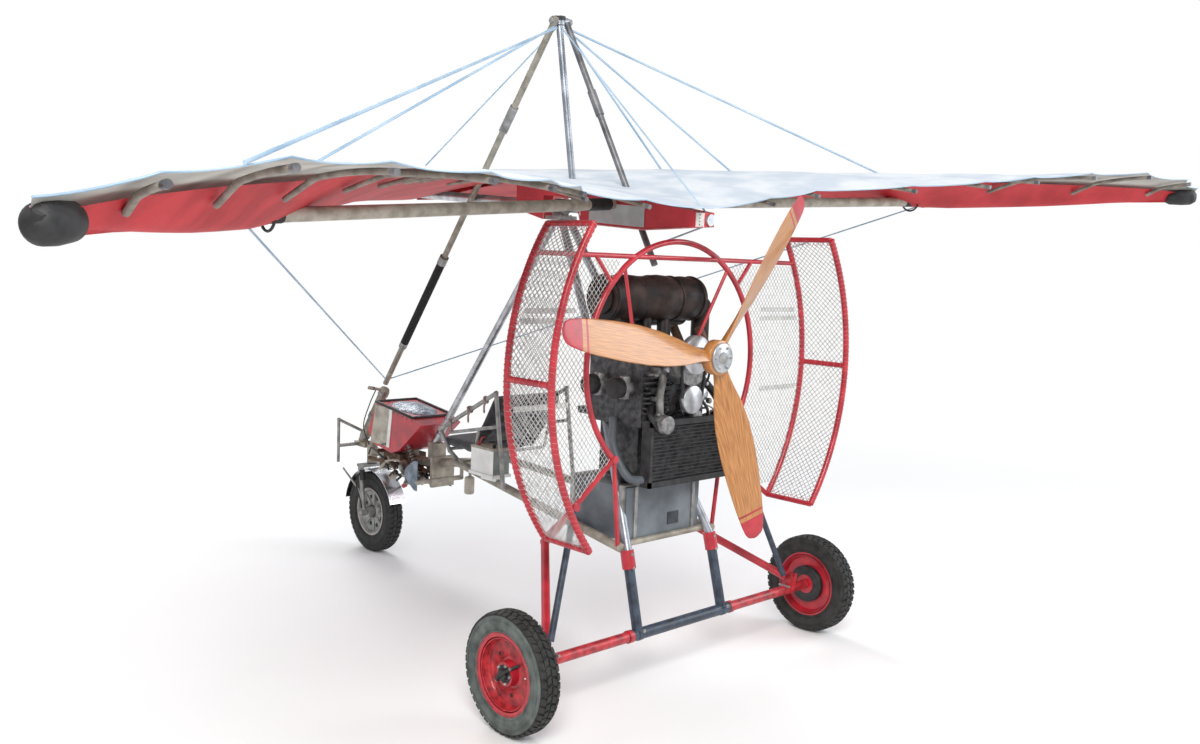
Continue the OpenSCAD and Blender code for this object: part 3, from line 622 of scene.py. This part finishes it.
def cloth(x, t, dz=0.0, scallop=True):
    te, zl, zt, cam = (np.interp(x, RX, [r[k] for r in RIBS]) for k in (1, 2, 3, 4))
    if scallop:
        for i in range(len(BX) - 1):
            if BX[i] < x < BX[i + 1]:
                q = (x - BX[i]) / (BX[i + 1] - BX[i])
                te += 0.030 * 4 * q * (1 - q) * (1 if x > 0.8 else 0.2)
                dz -= 0.010 * 4 * q * (1 - q) * t
    ly = lead_y(x)
    return (x, ly + (te - ly) * t, zl + (zt - zl) * t + cam * hump(t) + dz)


BX = [0.0, 0.40, 0.742, 1.05, 1.36, 1.658, 2.048, 2.386, 2.696, 2.92]


XS = sorted(set(np.concatenate([np.linspace(0.0, 2.92, 90), BX, RX]).round(4)))
TS = np.concatenate([[0, 0.01, 0.025, 0.045], np.linspace(0.07, 1, 26)])
LEAD_R = 0.029


def sag(t):
    return math.sin(math.pi * (t / 0.55) ** 0.6) if t < 0.55 else 0


def belly_at(x):
    return 0.062 * (1 + 0.85 * max(0, 1 - x)) * (1 - (x / 2.93) ** 8)


for side, nm in ((-1, "left"), (1, "right")):
    mir = lambda q: W(side * q[0], q[1], q[2])
    b = Build()
    b.grid([[mir(cloth(x, t, 0.012 + 0.022 * max(0, 1 - t / 0.1))) for t in TS] for x in XS], 0, side < 0)
    top = b.make(nm + "_sail_top", "wing", [SAIL], "sail_cloth")
    # red lower surface and the pocket round the leading edge tube
    b = Build()
    rows = []
    for x in XS:
        x = max(x, 0.05)
        row = []
        cx, cy, cz = cloth(x, 0.03, 0.0, False)
        for a in np.linspace(1.9, -1.7, 9):
            row.append(mir((x, cy + LEAD_R * math.cos(a) * 1.2, cz + LEAD_R * math.sin(a))))
        ds = np.interp(x, [0, 0.742, 1.3, 1.658, 2.048, 2.386, 2.696, 2.92],
            [0.50, 0.50, 0.46, 0.43, 0.40, 0.40, 0.42, 0.45])
        for t in np.linspace(0.06, ds, 14):
            row.append(mir(cloth(x, t, -0.006 - belly_at(x) * sag(t / ds * 0.55), False)))
        rows.append(row)
    b.grid(rows, 0, side > 0)
    under = b.make(nm + "_sail_under", "wing", [REDSAIL], "red_cloth")
    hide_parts(nm + "_sail")
    # battens, their tips, the cord of the trailing edge, tip cap
    b = Build()
    for x in BX[1:-1]:
        t0 = 0.33
        pts = [mir(cloth(x, t, -0.012 - (belly_at(x) * 0.8 * sag(t) if t < 0.55 else 0), False))
            for t in np.linspace(t0, 1.0, 18)]
        b.tube(pts, 0.0092, 8, 0)
        q = np.array(pts[-1]) - np.array(pts[-2])
        q /= np.linalg.norm(q)
        b.tube([pts[-1], pts[-1] + q * 0.022], 0.0100, 10, 1)
    te = [mir(cloth(x, 1.0, 0.012)) for x in XS]
    b.tube(te, 0.0028, 6, 2)
    b.make(nm + "_battens", "wing", [BATTEN, DARKTUBE, LINE_BLUE], "tan_alloy")
    b = Build()
    d = np.array(mir((2.925, lead_y(2.925), 0.12))) - np.array(mir((2.85, lead_y(2.85), 0.118)))
    d /= np.linalg.norm(d)
    b.lathe([(0.0, -0.085), (0.032, -0.08), (0.041, -0.06), (0.043, 0.0), (0.040, 0.045), (0.028, 0.066),
        (0.0, 0.07)],
            axis_place(np.array(mir((2.872, lead_y(2.872) - 0.015, 0.122))), d), 28, 0)
    b.tube([mir((2.90, lead_y(2.9) - 0.01, 0.125)), mir((2.905, -1.90, 0.150))], [0.032, 0.014], 12, 0)
    b.make(nm + "_tip_cap", "wing", [BLACK], "black_metal")

# ---------------------------------------------------------------- wing details
b = Build()
MAST = (0, 0.046, 0.86)
COL_TOP, COL_END = np.array([-0.043, 0.016, 0.874]), np.array([-0.045, 1.5, -1.146])  # control column


def at_mast(dx, dy, dz):
    return W(MAST[0] + dx, MAST[1] + dy, MAST[2] + dz)


for side in (-1, 1):
    b.tube(line(at_mast(side * 0.026, -0.01, -0.02), W(side * 2.0, -0.796, 0.086)), 0.0055, 8, 0)
    for x, t in ((2.50, 0.97),) if side < 0 else ((0.80, 0.3), (1.05, 0.3)):
        e = cloth(x, t, 0.012, False)
        b.tube(line(at_mast(side * 0.03, -0.02, -0.03), W(side * e[0], e[1], e[2])), 0.0055, 8, 0)
    low = COL_TOP + (COL_END - COL_TOP) * 0.985
    b.tube(line(W(side * 2.0, -0.786, 0.026), W(low[0] + side * 0.012, low[1], low[2])), 0.004, 8, 0)
    can(b, W(side * 0.052, 0.03, 0.862), RW @ np.array([side, 0, 0]), 0.016, 0.012, 1, 6, 0.001)
    c = W(side * 2.0, -0.796, 0.05)
    b.tube([c + np.array([0, 0.034 * math.cos(q), 0.034 * math.sin(q)])
        for q in turn(18)], 0.004, 6, 1, True)
b.tube(line(at_mast(0, -0.027, -0.03), W(0, -0.942, 0.02)), 0.004, 8, 0)
b.tube(line(at_mast(0, 0.024, -0.03), W(0, 1.36, 0.02)), 0.004, 8, 0)
b.tube(line(W(0.04, -0.566, -0.15), W(0.01, -0.942, -0.02)), 0.004, 8, 0)
b.tube(line(W(0, 0.047, 0.868), W(0, 0.047, 0.886)), 0.034, 24, 2)
rig = b.make("mast_rigging", "wing", [LINE_BLUE, DULL, BLACK], "cable_steel")
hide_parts("stays")

# foam grip, clamp and lower sleeve on the column
b = Build()
col = lambda t: W(*(COL_TOP + (COL_END - COL_TOP) * t))
b.tube(line(col(0.615), col(0.86), 8), 0.0235, 16, 0)
b.tube(line(col(0.595), col(0.615)), 0.026, 14, 1)
b.tube(line(col(0.86), col(0.875)), 0.024, 14, 1)
b.tube(line(col(0.2), col(0.26)), 0.0225, 14, 1)
b.make("column_grip", "wing", [FOAM, DULL], "black_metal")

# keel pocket: piping, blank patch, plain cuff with eyelets
b = Build()
for side in (-1, 1):
    b.tube([W(side * 0.033, -0.948, -0.028), W(side * 0.033, -0.6, -0.066),
        W(side * 0.033, -0.178, -0.066)], 0.0035, 6, 0)
    b.tube([W(side * 0.033, -0.178 + 0.134 * (1 - math.cos(a)), -0.066 + 0.112 * math.sin(a))
        for a in np.linspace(0, math.pi, 18)], 0.0035, 6, 0)
    b.box((0, 0, 0), (1, 1, 1), 1, lambda q,
        side=side: W(side * (0.0335 + 0.002 * q[0]), -0.60 + 0.36 * q[1], -0.056 + 0.092 * q[2]))
    b.box((0, 0, 0), (1, 1, 1), 2, lambda q,
        side=side: W(side * (0.0325 + 0.003 * q[0]), -0.95 + 0.045 * q[1], -0.030 + 0.060 * q[2]))
    for k in range(4):
        can(b, W(side * 0.0355, -0.928, -0.020 + 0.014 * k), RW @ np.array([side, 0, 0]), 0.0035, 0.0015,
            3, 12, 0.0004)
b.make("pocket_trim", "wing", [PINK, PATCH, WHITE, DULL], "red_cloth")

# crossbar sleeves and straps
b = Build()
for side in (-1, 1):
    ci, co = np.array([0.03, -0.395, 0.036]), np.array([2.0, -0.786, 0.046])
    at = lambda t: W(side * (ci + (co - ci) * t)[0], (ci + (co - ci) * t)[1], (ci + (co - ci) * t)[2])
    b.tube(line(at(0.93), at(1.0)), 0.0275, 16, 0)
    b.tube(line(at(0.02), at(0.10)), 0.028, 16, 0)
    b.tube([at(0.955) + np.array([0, 0.05 * math.cos(a), 0.05 * math.sin(a)])
        for a in turn(20)], 0.005, 6, 1, True)
b.make("crossbar_sleeves", "wing", [BLACK, BLACK], "black_metal")

# ---------------------------------------------------------------- radiator
b = Build()
x0, x1, z0, z1, yb = -0.20, 0.32, 0.85, 1.14, 0.056
for k in range(74):
    x = x0 + 0.02 + (x1 - x0 - 0.04) * k / 73
    b.box(F(x - 0.0008, yb - 0.005, z0 + 0.03), F(x + 0.0008, yb - 0.0005, z1 - 0.03), 0)
for k in range(15):
    z = z0 + 0.035 + (z1 - z0 - 0.07) * k / 14
    b.box(F(x0 + 0.018, yb - 0.0075, z - 0.0022), F(x1 - 0.018, yb - 0.003, z + 0.0022), 1)
for a, c in (((x0, z0), (x1, z0 + 0.026)), ((x0, z1 - 0.026), (x1, z1)), ((x0, z0), (x0 + 0.016, z1)),
    ((x1 - 0.016, z0), (x1, z1))):
    b.box(F(a[0], yb - 0.012, a[1]), F(c[0], yb + 0.0, c[1]), 2)
can(b, F(0.25, 0.08, 1.138), (0, 0, 1), 0.022, 0.018, 1, 20)
b.tube(curve([F(0.29, 0.085, 1.13), F(0.33, 0.12, 1.18), F(0.30, 0.2, 1.28), F(0.22, 0.26, 1.33)], 8),
    0.018, 12, 2)
b.tube(curve([F(-0.19, 0.09, 0.88), F(-0.26, 0.12, 0.90), F(-0.27, 0.20, 1.02), F(-0.22, 0.26, 1.13)], 8),
    0.018, 12, 3)
b.make("radiator_core", "carriage", [ENGINE, BLACK, BLACK, SLATE], "black_metal")

# ---------------------------------------------------------------- engine
b = Build()
ez = 1.105
for x in (-0.115, 0.115):
    for k in range(9):
        z = ez + 0.06 + 0.022 * k
        can(b, F(x, 0.106, z), (0, -1, 0), 0.001, 0.001, 0)
        b.box(F(x - 0.08, 0.088, z), F(x + 0.08, 0.112, z + 0.008), 0)
    can(b, F(x, 0.112, ez + 0.03), (0, -1, 0), 0.034, 0.05, 1, 24)
    can(b, F(x, 0.07, ez + 0.255), (0, -1, 0), 0.012, 0.035, 2, 12)
    b.tube(curve([F(x, 0.05, ez + 0.255), F(x + 0.03, 0.03, ez + 0.30), F(x * 1.4, 0.1, ez + 0.33),
        F(x * 1.6, 0.2, ez + 0.30)], 6), 0.004, 6, 3)
# carburettors and filters on the left, exhaust pipes on the right
for y in (0.18, 0.34):
    can(b, F(-0.2, y, ez + 0.17), (-1, 0, 0), 0.032, 0.06, 1, 24)
    can(b, F(-0.26, y, ez + 0.17), (-1, 0, 0), 0.045, 0.055, 3, 28, 0.008)
    can(b, F(-0.235, y, ez + 0.12), (0, 0, 1), 0.024, 0.1, 1, 20)
    b.tube(curve([F(0.2, y, ez + 0.2), F(0.27, y, ez + 0.22), F(0.30, y, ez + 0.3),
        F(0.25, y + 0.02, ez + 0.42)], 8), 0.022, 12, 4)
b.tube(curve([F(-0.12, 0.075, 1.16), F(-0.13, 0.07, 1.25), F(-0.10, 0.085, 1.33), F(-0.06, 0.15, 1.42)],
    8), 0.018, 12, 5)
# belt guard, pulleys, starter, hoses
can(b, F(0, 0.02, 1.23), (0, -1, 0), 0.062, 0.03, 2, 36)
can(b, F(0, 0.012, 1.425), (0, -1, 0), 0.085, 0.035, 2, 40)
for s_ in (-1, 1):
    b.tube([F(s_ * 0.062, 0.0, 1.24), F(s_ * 0.082, 0.0, 1.42)], 0.008, 6, 3)
can(b, F(-0.13, 0.10, ez + 0.02), (0, -1, 0), 0.04, 0.09, 1, 28)
can(b, F(0.16, 0.108, ez + 0.13), (0, -1, 0), 0.028, 0.04, 2, 24)
for k in range(7):
    x = -0.17 + 0.055 * k
    can(b, F(x, 0.108, ez + 0.015), (0, -1, 0), 0.007, 0.008, 2, 6, 0.001)
for pts, r, m in (([F(-0.16, 0.1, ez + 0.1), F(-0.2, 0.05, ez + 0.05), F(-0.12, 0.05, ez - 0.02),
    F(0.02, 0.08, ez + 0.02)], 0.009, 3),
                  ([F(0.05, 0.1, ez + 0.2), F(0.1, 0.04, ez + 0.12), F(0.18, 0.06, ez + 0.05),
                      F(0.2, 0.12, ez - 0.02)], 0.007, 3),
                  ([F(-0.05, 0.1, ez + 0.29), F(-0.12, 0.04, ez + 0.34), F(-0.2, 0.1, ez + 0.3)], 0.006, 6),
                  ([F(0.14, 0.12, ez + 0.29), F(0.22, 0.06, ez + 0.36), F(0.3, 0.14, ez + 0.3),
                      F(0.31, 0.2, ez + 0.1)], 0.006, 3)):
    b.tube(curve(pts, 8), r, 8, m)
for k in range(ENGINE_BITS):
    x, z = rng.uniform(-0.17, 0.19), rng.uniform(1.16, 1.375)
    y, w, h = rng.uniform(0.055, 0.10), rng.uniform(0.006, 0.022), rng.uniform(0.006, 0.026)
    m = int(rng.choice([1, 2, 3, 3, 1]))
    if k % 3 == 0:
        can(b, F(x, y + 0.01, z), (0, -1, 0), w * 0.8, 0.02, m, 14, 0.002)
    elif k % 3 == 1:
        b.box(F(x - w, y, z - h / 2), F(x + w, 0.112, z + h / 2), m)
    else:
        b.tube(curve([F(x, y, z), F(x + rng.uniform(-0.05, 0.05), y - 0.01, z - 0.03),
            F(x + rng.uniform(-0.06, 0.06), 0.11, z - 0.07)], 6), 0.0035, 6, m)
b.make("engine_details", "carriage", [ENGINE, CAST, ALLOY, BLACK, RUST, DULL, RAG], "engine_alloy")

# ---------------------------------------------------------------- silencer
SIL_Y, SIL_Z, SIL_R = 0.275, 1.655, 0.0995
b = Build()
for x in (-0.29, -0.16, -0.02, 0.12, 0.26):
    b.tube([F(x, SIL_Y + SIL_R * math.cos(a), SIL_Z + SIL_R * math.sin(a))
        for a in turn(40)], 0.0045, 6, 0, True)
for x, r in ((-0.17, 0.104), (0.03, 0.106), (0.19, 0.102)):
    b.lathe([(0.09, -0.075), (r - 0.004, -0.06), (r, 0.0), (r - 0.004, 0.06), (0.09, 0.075)],
        axis_place(F(x, SIL_Y, SIL_Z), (1, 0, 0)), 40, 1)
can(b, F(-0.315, SIL_Y, SIL_Z), (1, 0, 0), 0.07, 0.02, 1, 30)
b.tube([F(0.345, 0.275, 1.45), F(0.345, 0.275, 1.40)], 0.05, 20, 0)
for x in (-0.24, -0.05, 0.06):
    b.tube(line(F(x, 0.25, 1.57), F(x - 0.01, 0.24, 1.44)), 0.026, 14, 1)
b.make("silencer_bands", "carriage", [EXHAUST, EXHAUST], "dark_exhaust")

# ---------------------------------------------------------------- tank and battery
b = Build()
b.box(F(0.03, 0.1365, 0.645), F(0.10, 0.1402, 0.70), 0)
for x in (-0.19, 0.185):
    b.box(F(x, 0.134, 0.60), F(x + 0.018, 0.1405, 0.842), 1)
can(b, F(-0.14, 0.24, 0.838), (0, 0, 1), 0.035, 0.022, 2, 24)
b.tube(curve([F(-0.14, 0.24, 0.855), F(-0.13, 0.2, 0.88), F(-0.2, 0.16, 0.9), F(-0.27, 0.2, 1.0)], 8),
    0.007, 8, 2)
b.make("tank_fittings", "carriage", [PLATE, DULL, BLACK], "black_metal")
b = Build()
b.box(F(-0.262, 1.0395, 0.744), F(-0.162, 1.041, 0.862), 0)
b.box(F(-0.264, 1.038, 0.862), F(-0.160, 1.222, 0.8735), 1)
for y, m in ((1.07, 2), (1.19, 3)):
    can(b, F(-0.235, y, 0.873), (0, 0, 1), 0.009, 0.016, m, 14)
    b.tube(curve([F(-0.235, y, 0.886), F(-0.21, y + 0.01, 0.905), F(-0.17, y + 0.03, 0.90),
        F(-0.15, y + 0.08, 0.84)], 8), 0.0045, 8, m)
b.box(F(-0.200, 1.0380, 0.835), F(-0.182, 1.0394, 0.850), 4)
b.make("battery_fittings", "carriage", [GREYGREEN, BEIGE, BLACK, RED, DULL], "black_metal")

# ---------------------------------------------------------------- seat
def cushion(name, pts, half, thick):
    """A crowned pad along a side profile, with sewn channels."""
    b = Build()
    line_ = curve([F(0, *q) for q in pts], 10)
    rows = []
    n = len(line_)
    for i, q in enumerate(line_):
        t = line_[min(i + 1, n - 1)] - line_[max(i - 1, 0)]
        t /= np.linalg.norm(t)
        up = np.array([0, -t[2], t[1]])
        e = min(1, 6 * min(i, n - 1 - i) / n)
        row = []
        for a in turn(40):
            cx, sy = math.cos(a), math.sin(a)
            x = half * math.copysign(abs(cx) ** 0.35, cx)
            h = thick * math.copysign(abs(sy) ** 0.6, sy) * (0.45 + 0.55 * math.sqrt(e))
            if sy > 0:
                h += 0.010 * e * math.cos(3.5 * math.pi * x / half) ** 2 + 0.004 * math.sin(i * 0.9)
            row.append(q + np.array([x, 0, 0]) + up * h)
        rows.append(row + [row[0]])
    b.grid(rows, 0)
    b.add(rows[0][:-1], [tuple(range(40))[::-1]], 0)
    b.add(rows[-1][:-1], [tuple(range(40))], 0)
    o = b.make(name, "carriage", [SEAT], "seat_fabric")
    return o


base = cushion("seat_base_pad", [(1.545, 0.846), (1.42, 0.845), (1.30, 0.850), (1.25, 0.875)], 0.205, 0.030)
cushion("seat_back_pad", [(1.262, 0.880), (1.20, 0.96), (1.15, 1.04), (1.105, 1.118)], 0.205, 0.030)
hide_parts("seat")
b = Build()
for side in (-1, 1):
    for k, (y, z) in enumerate(((1.43, 0.962), (1.28, 1.040), (1.15, 1.105))):
        pts = [F(side * 0.232, y, z) + np.array([0.014 * math.cos(a), 0.006 * math.sin(3 * a + k),
            0.014 * math.sin(a)]) for a in np.linspace(0, 6.0, 18)]
        b.tube(pts, 0.006, 6, 0)
        b.tube(curve([pts[0], pts[0] + np.array([side * 0.012, 0.01, -0.03]),
            pts[0] + np.array([side * 0.004, 0.02, -0.07])], 6), [0.006] * 12 + [0.004], 6, 0)
b.make("frame_ties", "carriage", [RAG], "seat_fabric")

# ---------------------------------------------------------------- pod and nose
b = Build()
rim = [F(x, y, z) for x, y, z in ((-0.137, 1.93, 0.902), (-0.137, 2.304, 0.950), (0.137, 2.304, 0.950),
    (0.137, 1.93, 0.902))]
b.tube([q for i in range(4) for q in line(rim[i], rim[(i + 1) % 4], 6)[:-1]], 0.009, 8, 0, True)
for side in (-1, 1):
    b.box((0, 0, 0), (1, 1, 1), 1, lambda q,
        side=side: F(side * (0.1352 + 0.003 * q[0]), 2.135 + 0.028 * q[1] + 0.03 * (1 - q[2]),
            0.70 + 0.225 * q[2]))
    b.box((0, 0, 0), (1, 1, 1), 2, lambda q,
        side=side: F(side * (0.1352 + 0.002 * q[0]),
            2.163 + (0.17 - 0.02 * q[2]) * q[1] + 0.03 * (1 - q[2]), 0.705 + 0.225 * q[2]))
    for k in range(5):
        can(b, F(side * 0.135, 1.95 + 0.045 * k, 0.884 + 0.006 * k), (side, 0, 0), 0.004, 0.004, 3, 10,
            0.001)
b.make("pod_trim", "carriage", [BLACK, WHITE, BEIGE, DULL], "black_metal")

b = Build()


def spring(a, c, r, turns, wire, m):
    a, c = np.array(a), np.array(c)
    pl = axis_place(a, c - a)
    L = np.linalg.norm(c - a)
    b.tube([pl((r * math.cos(2 * math.pi * turns * t), r * math.sin(2 * math.pi * turns * t), L * t))
        for t in np.linspace(0, 1, int(turns * 12))], wire, 6, m)


for side in (-1, 1):
    spring(F(side * 0.09, 1.95, 0.60), F(side * 0.10, 2.02, 0.72), 0.020, 8, 0.0035, 0)
    b.tube(line(F(side * 0.09, 1.93, 0.57), F(side * 0.10, 2.03, 0.74)), 0.009, 10, 1)
    spring(F(side * 0.06, 2.24, 0.56), F(side * 0.06, 2.38, 0.60), 0.016, 9, 0.003, 1)
    b.tube(line(F(side * 0.055, 1.9, 0.60), F(side * 0.07, 2.48, 0.585)), 0.012, 12, 3)
    b.tube(curve([F(side * 0.05, 2.52, 0.60), F(side * 0.10, 2.40, 0.66), F(side * 0.11, 2.25, 0.62),
        F(side * 0.08, 2.1, 0.58)], 8), 0.005, 8, 2)
b.tube(line(F(-0.17, 2.20, 0.715), F(0.17, 2.20, 0.715)), 0.006, 10, 1)
b.tube(line(F(-0.13, 2.30, 0.66), F(0.13, 2.30, 0.66)), 0.011, 10, 3)
can(b, F(-0.075, 2.06, 0.60), (-1, 0, 0), 0.045, 0.03, 3, 28)
can(b, F(-0.11, 2.06, 0.60), (-1, 0, 0), 0.018, 0.02, 1, 18)
can(b, F(0.075, 2.06, 0.60), (1, 0, 0), 0.045, 0.03, 3, 28)
can(b, F(-0.05, 2.32, 0.585), (-1, 0, 0), 0.035, 0.03, 3, 24)
b.box(F(-0.09, 2.12, 0.625), F(0.09, 2.29, 0.66), 3)
for side in (-1, 1):
    b.grid([[F(side * 0.118, 1.90 + 0.10 * math.sin(math.pi * t) * u + 0.03 * u, 0.49 + 0.17 * t)
        for u in np.linspace(0, 1, 6)] for t in np.linspace(0, 1, 10)], 4)
for k in range(NOSE_BITS):
    c = np.array([rng.uniform(-0.11, 0.10), rng.uniform(1.98, 2.28), rng.uniform(0.505, 0.63)])
    d = np.array([rng.uniform(-0.04, 0.04), rng.uniform(-0.06, 0.06), rng.uniform(-0.04, 0.04)])
    m = int(rng.choice([0, 1, 2, 3, 3, 5]))
    if k % 2:
        b.tube(curve([F(*(c - d)), F(*(c + [0, 0, 0.012])), F(*(c + d))], 5), rng.uniform(0.004, 0.011),
            8, m)
    else:
        can(b, F(*c), d + [0.03, 0, 0], rng.uniform(0.012, 0.03), rng.uniform(0.012, 0.035), m, 18, 0.002)
# can under the rail, red bolt of the lower tube
can(b, F(-0.17, 1.35, 0.585), (0, 0, 1), 0.026, 0.09, 5, 24, 0.006)
b.tube(line(F(-0.165, 1.35, 0.67), F(-0.165, 1.36, 0.72)), 0.008, 8, 1)
can(b, F(-0.06, 2.10, 0.487), (0, 0.6, -0.3), 0.014, 0.03, 6, 6, 0.001)
b.make("nose_fittings", "carriage", [RUST, DULL, BLACK, RUST, BLUEGREY, BEIGE, RED], "tan_alloy")

# nose post grip and clamps, fork details
b = Build()
pl, ph = np.array([0, 2.67, 0.655]), np.array([0, 2.43, 1.0])
for t in (0.12, 0.5, 0.93):
    q = pl + (ph - pl) * t
    d = (ph - pl) / np.linalg.norm(ph - pl)
    b.tube(line(F(*(q - d * 0.014)), F(*(q + d * 0.014))), 0.0325, 20, 0)
can(b, F(-0.058, 2.453, 1.005), (-96, 38, 18), 0.0105, 0.038, 1, 14, 0.002)
b.tube(curve([F(-0.05, 2.45, 1.0), F(-0.05, 2.52, 0.9), F(-0.04, 2.6, 0.76), F(-0.06, 2.5, 0.66)], 8),
    0.0035, 6, 1)
b.make("post_clamps", "carriage", [DULL, BLACK], "tan_alloy")
b = Build()
for side in (-1, 1):
    can(b, F(side * 0.094, 2.514, 0.244), (side, 0, 0), 0.018, 0.012, 0, 6, 0.002)
    b.tube(line(F(side * 0.079, 2.535, 0.44), F(side * 0.079, 2.545, 0.50)), 0.017, 16, 1)
b.tube(curve([F(-0.09, 2.545, 0.49), F(-0.115, 2.55, 0.42), F(-0.1, 2.53, 0.33), F(-0.095, 2.52, 0.27)],
    8), 0.004, 6, 1)
b.make("fork_fittings", "nose_fork_body", [DULL, BLACK], "bright_alloy")

# axle details: weld collars, bolts on the leg feet and collars
b = Build()
for side in (-1, 1):
    for x in (0.33, 0.274):
        b.tube(line(F(side * (x - 0.012), 0, TYRE_R), F(side * (x + 0.012), 0, TYRE_R)), 0.0275, 24, 0
            if x > 0.3 else 1)
    can(b, F(side * 0.274, -0.028, 0.262), (0, -1, 0), 0.009, 0.01, 2, 6, 0.001)
    for z in (0.515, 0.572):
        can(b, F(side * 0.27, 0.055 + (z - 0.515) * 0.25, z), (0, -1, 0), 0.008, 0.012, 2, 6, 0.001)
    b.tube(line(F(side * 0.75, -0.03, 0.262), F(side * 0.75, 0.03, 0.262)), 0.006, 8, 2)
b.make("axle_fittings", "carriage", [RED_WORN, NAVY, DULL], "navy_paint")

# ---------------------------------------------------------------- stage, light, camera
floor = bpy.data.meshes.new("floor")
floor.from_pydata([(-40, -40, 0), (40, -40, 0), (40, 40, 0), (-40, 40, 0)], [], [(0, 1, 2, 3)])
fo = bpy.data.objects.new("floor", floor)
bpy.context.scene.collection.objects.link(fo)
FM = surface("m_floor", (0.88, 0.88, 0.88), (0.91, 0.91, 0.91), 0.9, scale=0.5, bump=0.0)
nt = FM.node_tree
tcn = nt.nodes.new("ShaderNodeTexCoord")
gr = nt.nodes.new("ShaderNodeTexGradient")
gr.gradient_type = "SPHERICAL"
mpn = nt.nodes.new("ShaderNodeMapping")
mpn.inputs["Scale"].default_value = (0.12, 0.12, 0.12)
nt.links.new(tcn.outputs["Object"], mpn.inputs["Vector"])
nt.links.new(mpn.outputs["Vector"], gr.inputs["Vector"])
rp = nt.nodes.new("ShaderNodeValToRGB")
rp.color_ramp.elements[0].position = 0.18
rp.color_ramp.elements[1].position = 0.66
nt.links.new(gr.outputs["Fac"], rp.inputs["Fac"])
em = nt.nodes.new("ShaderNodeEmission")
em.inputs["Color"].default_value = (1, 1, 1, 1)
em.inputs["Strength"].default_value = 1.0
mxf = nt.nodes.new("ShaderNodeMixShader")
nt.links.new(rp.outputs["Color"], mxf.inputs["Fac"])
nt.links.new(em.outputs["Emission"], mxf.inputs[1])
nt.links.new(nt.nodes["Principled BSDF"].outputs["BSDF"], mxf.inputs[2])
nt.links.new(mxf.outputs["Shader"], nt.nodes["Material Output"].inputs["Surface"])
floor.materials.append(FM)

world = bpy.data.worlds.new("studio")
bpy.context.scene.world = world
world.use_nodes = True
nt = world.node_tree
bg = nt.nodes["Background"]
bg.inputs["Color"].default_value = (0.93, 0.96, 1.0, 1)
bg.inputs["Strength"].default_value = 0.62
bg2 = nt.nodes.new("ShaderNodeBackground")
bg2.inputs["Color"].default_value = (1, 1, 1, 1)
bg2.inputs["Strength"].default_value = 1.0
lp = nt.nodes.new("ShaderNodeLightPath")
mx = nt.nodes.new("ShaderNodeMixShader")
nt.links.new(lp.outputs["Is Camera Ray"], mx.inputs["Fac"])
nt.links.new(bg.outputs["Background"], mx.inputs[1])
nt.links.new(bg2.outputs["Background"], mx.inputs[2])
nt.links.new(mx.outputs["Shader"], nt.nodes["World Output"].inputs["Surface"])


def area(name, loc, to, size, power, col=(1, 1, 1)):
    l = bpy.data.lights.new(name, "AREA")
    l.shape = "DISK"
    l.size = size
    l.energy = power
    l.color = col
    o = bpy.data.objects.new(name, l)
    o.location = loc
    o.rotation_euler = (Vector(to) - Vector(loc)).to_track_quat("-Z", "Y").to_euler()
    bpy.context.scene.collection.objects.link(o)
    return o


area("key", (-5.5, -6.0, 6.5), (0, 0, 1.0), 4.0, 620, (1.0, 0.97, 0.93))
area("fill", (6.0, -5.0, 4.0), (0, 0, 1.2), 5.0, 260, (0.92, 0.96, 1.0))
area("rim", (2.0, 7.0, 6.0), (0, 0, 1.5), 4.0, 320)

# camera solved from the photograph: heading, tilt and bank in degrees, eye point in m, focal length in mm
HEADING, TILT, BANK = 43.85, 5.886, 2.218
EYE = F(-3.5035, -3.0645, 1.8125)
FOCAL, SENSOR = 32.31, 36
a, t, r = math.radians(HEADING), math.radians(TILT), math.radians(BANK)
fwd = Vector((math.sin(a) * math.cos(t), math.cos(a) * math.cos(t), -math.sin(t)))
right = Vector((math.cos(a), -math.sin(a), 0))
up = right.cross(fwd)
r2 = right * math.cos(r) + up * math.sin(r)
u2 = -right * math.sin(r) + up * math.cos(r)
cam = bpy.data.cameras.new("photo_camera")
cam.lens = FOCAL
cam.sensor_width = SENSOR
co = bpy.data.objects.new("photo_camera", cam)
co.matrix_world = Matrix(((r2.x, u2.x, -fwd.x, EYE[0]), (r2.y, u2.y, -fwd.y, EYE[1]),
    (r2.z, u2.z, -fwd.z, EYE[2]), (0, 0, 0, 1)))
bpy.context.scene.collection.objects.link(co)
bpy.context.scene.camera = co
bpy.context.scene.view_settings.view_transform = "Standard"
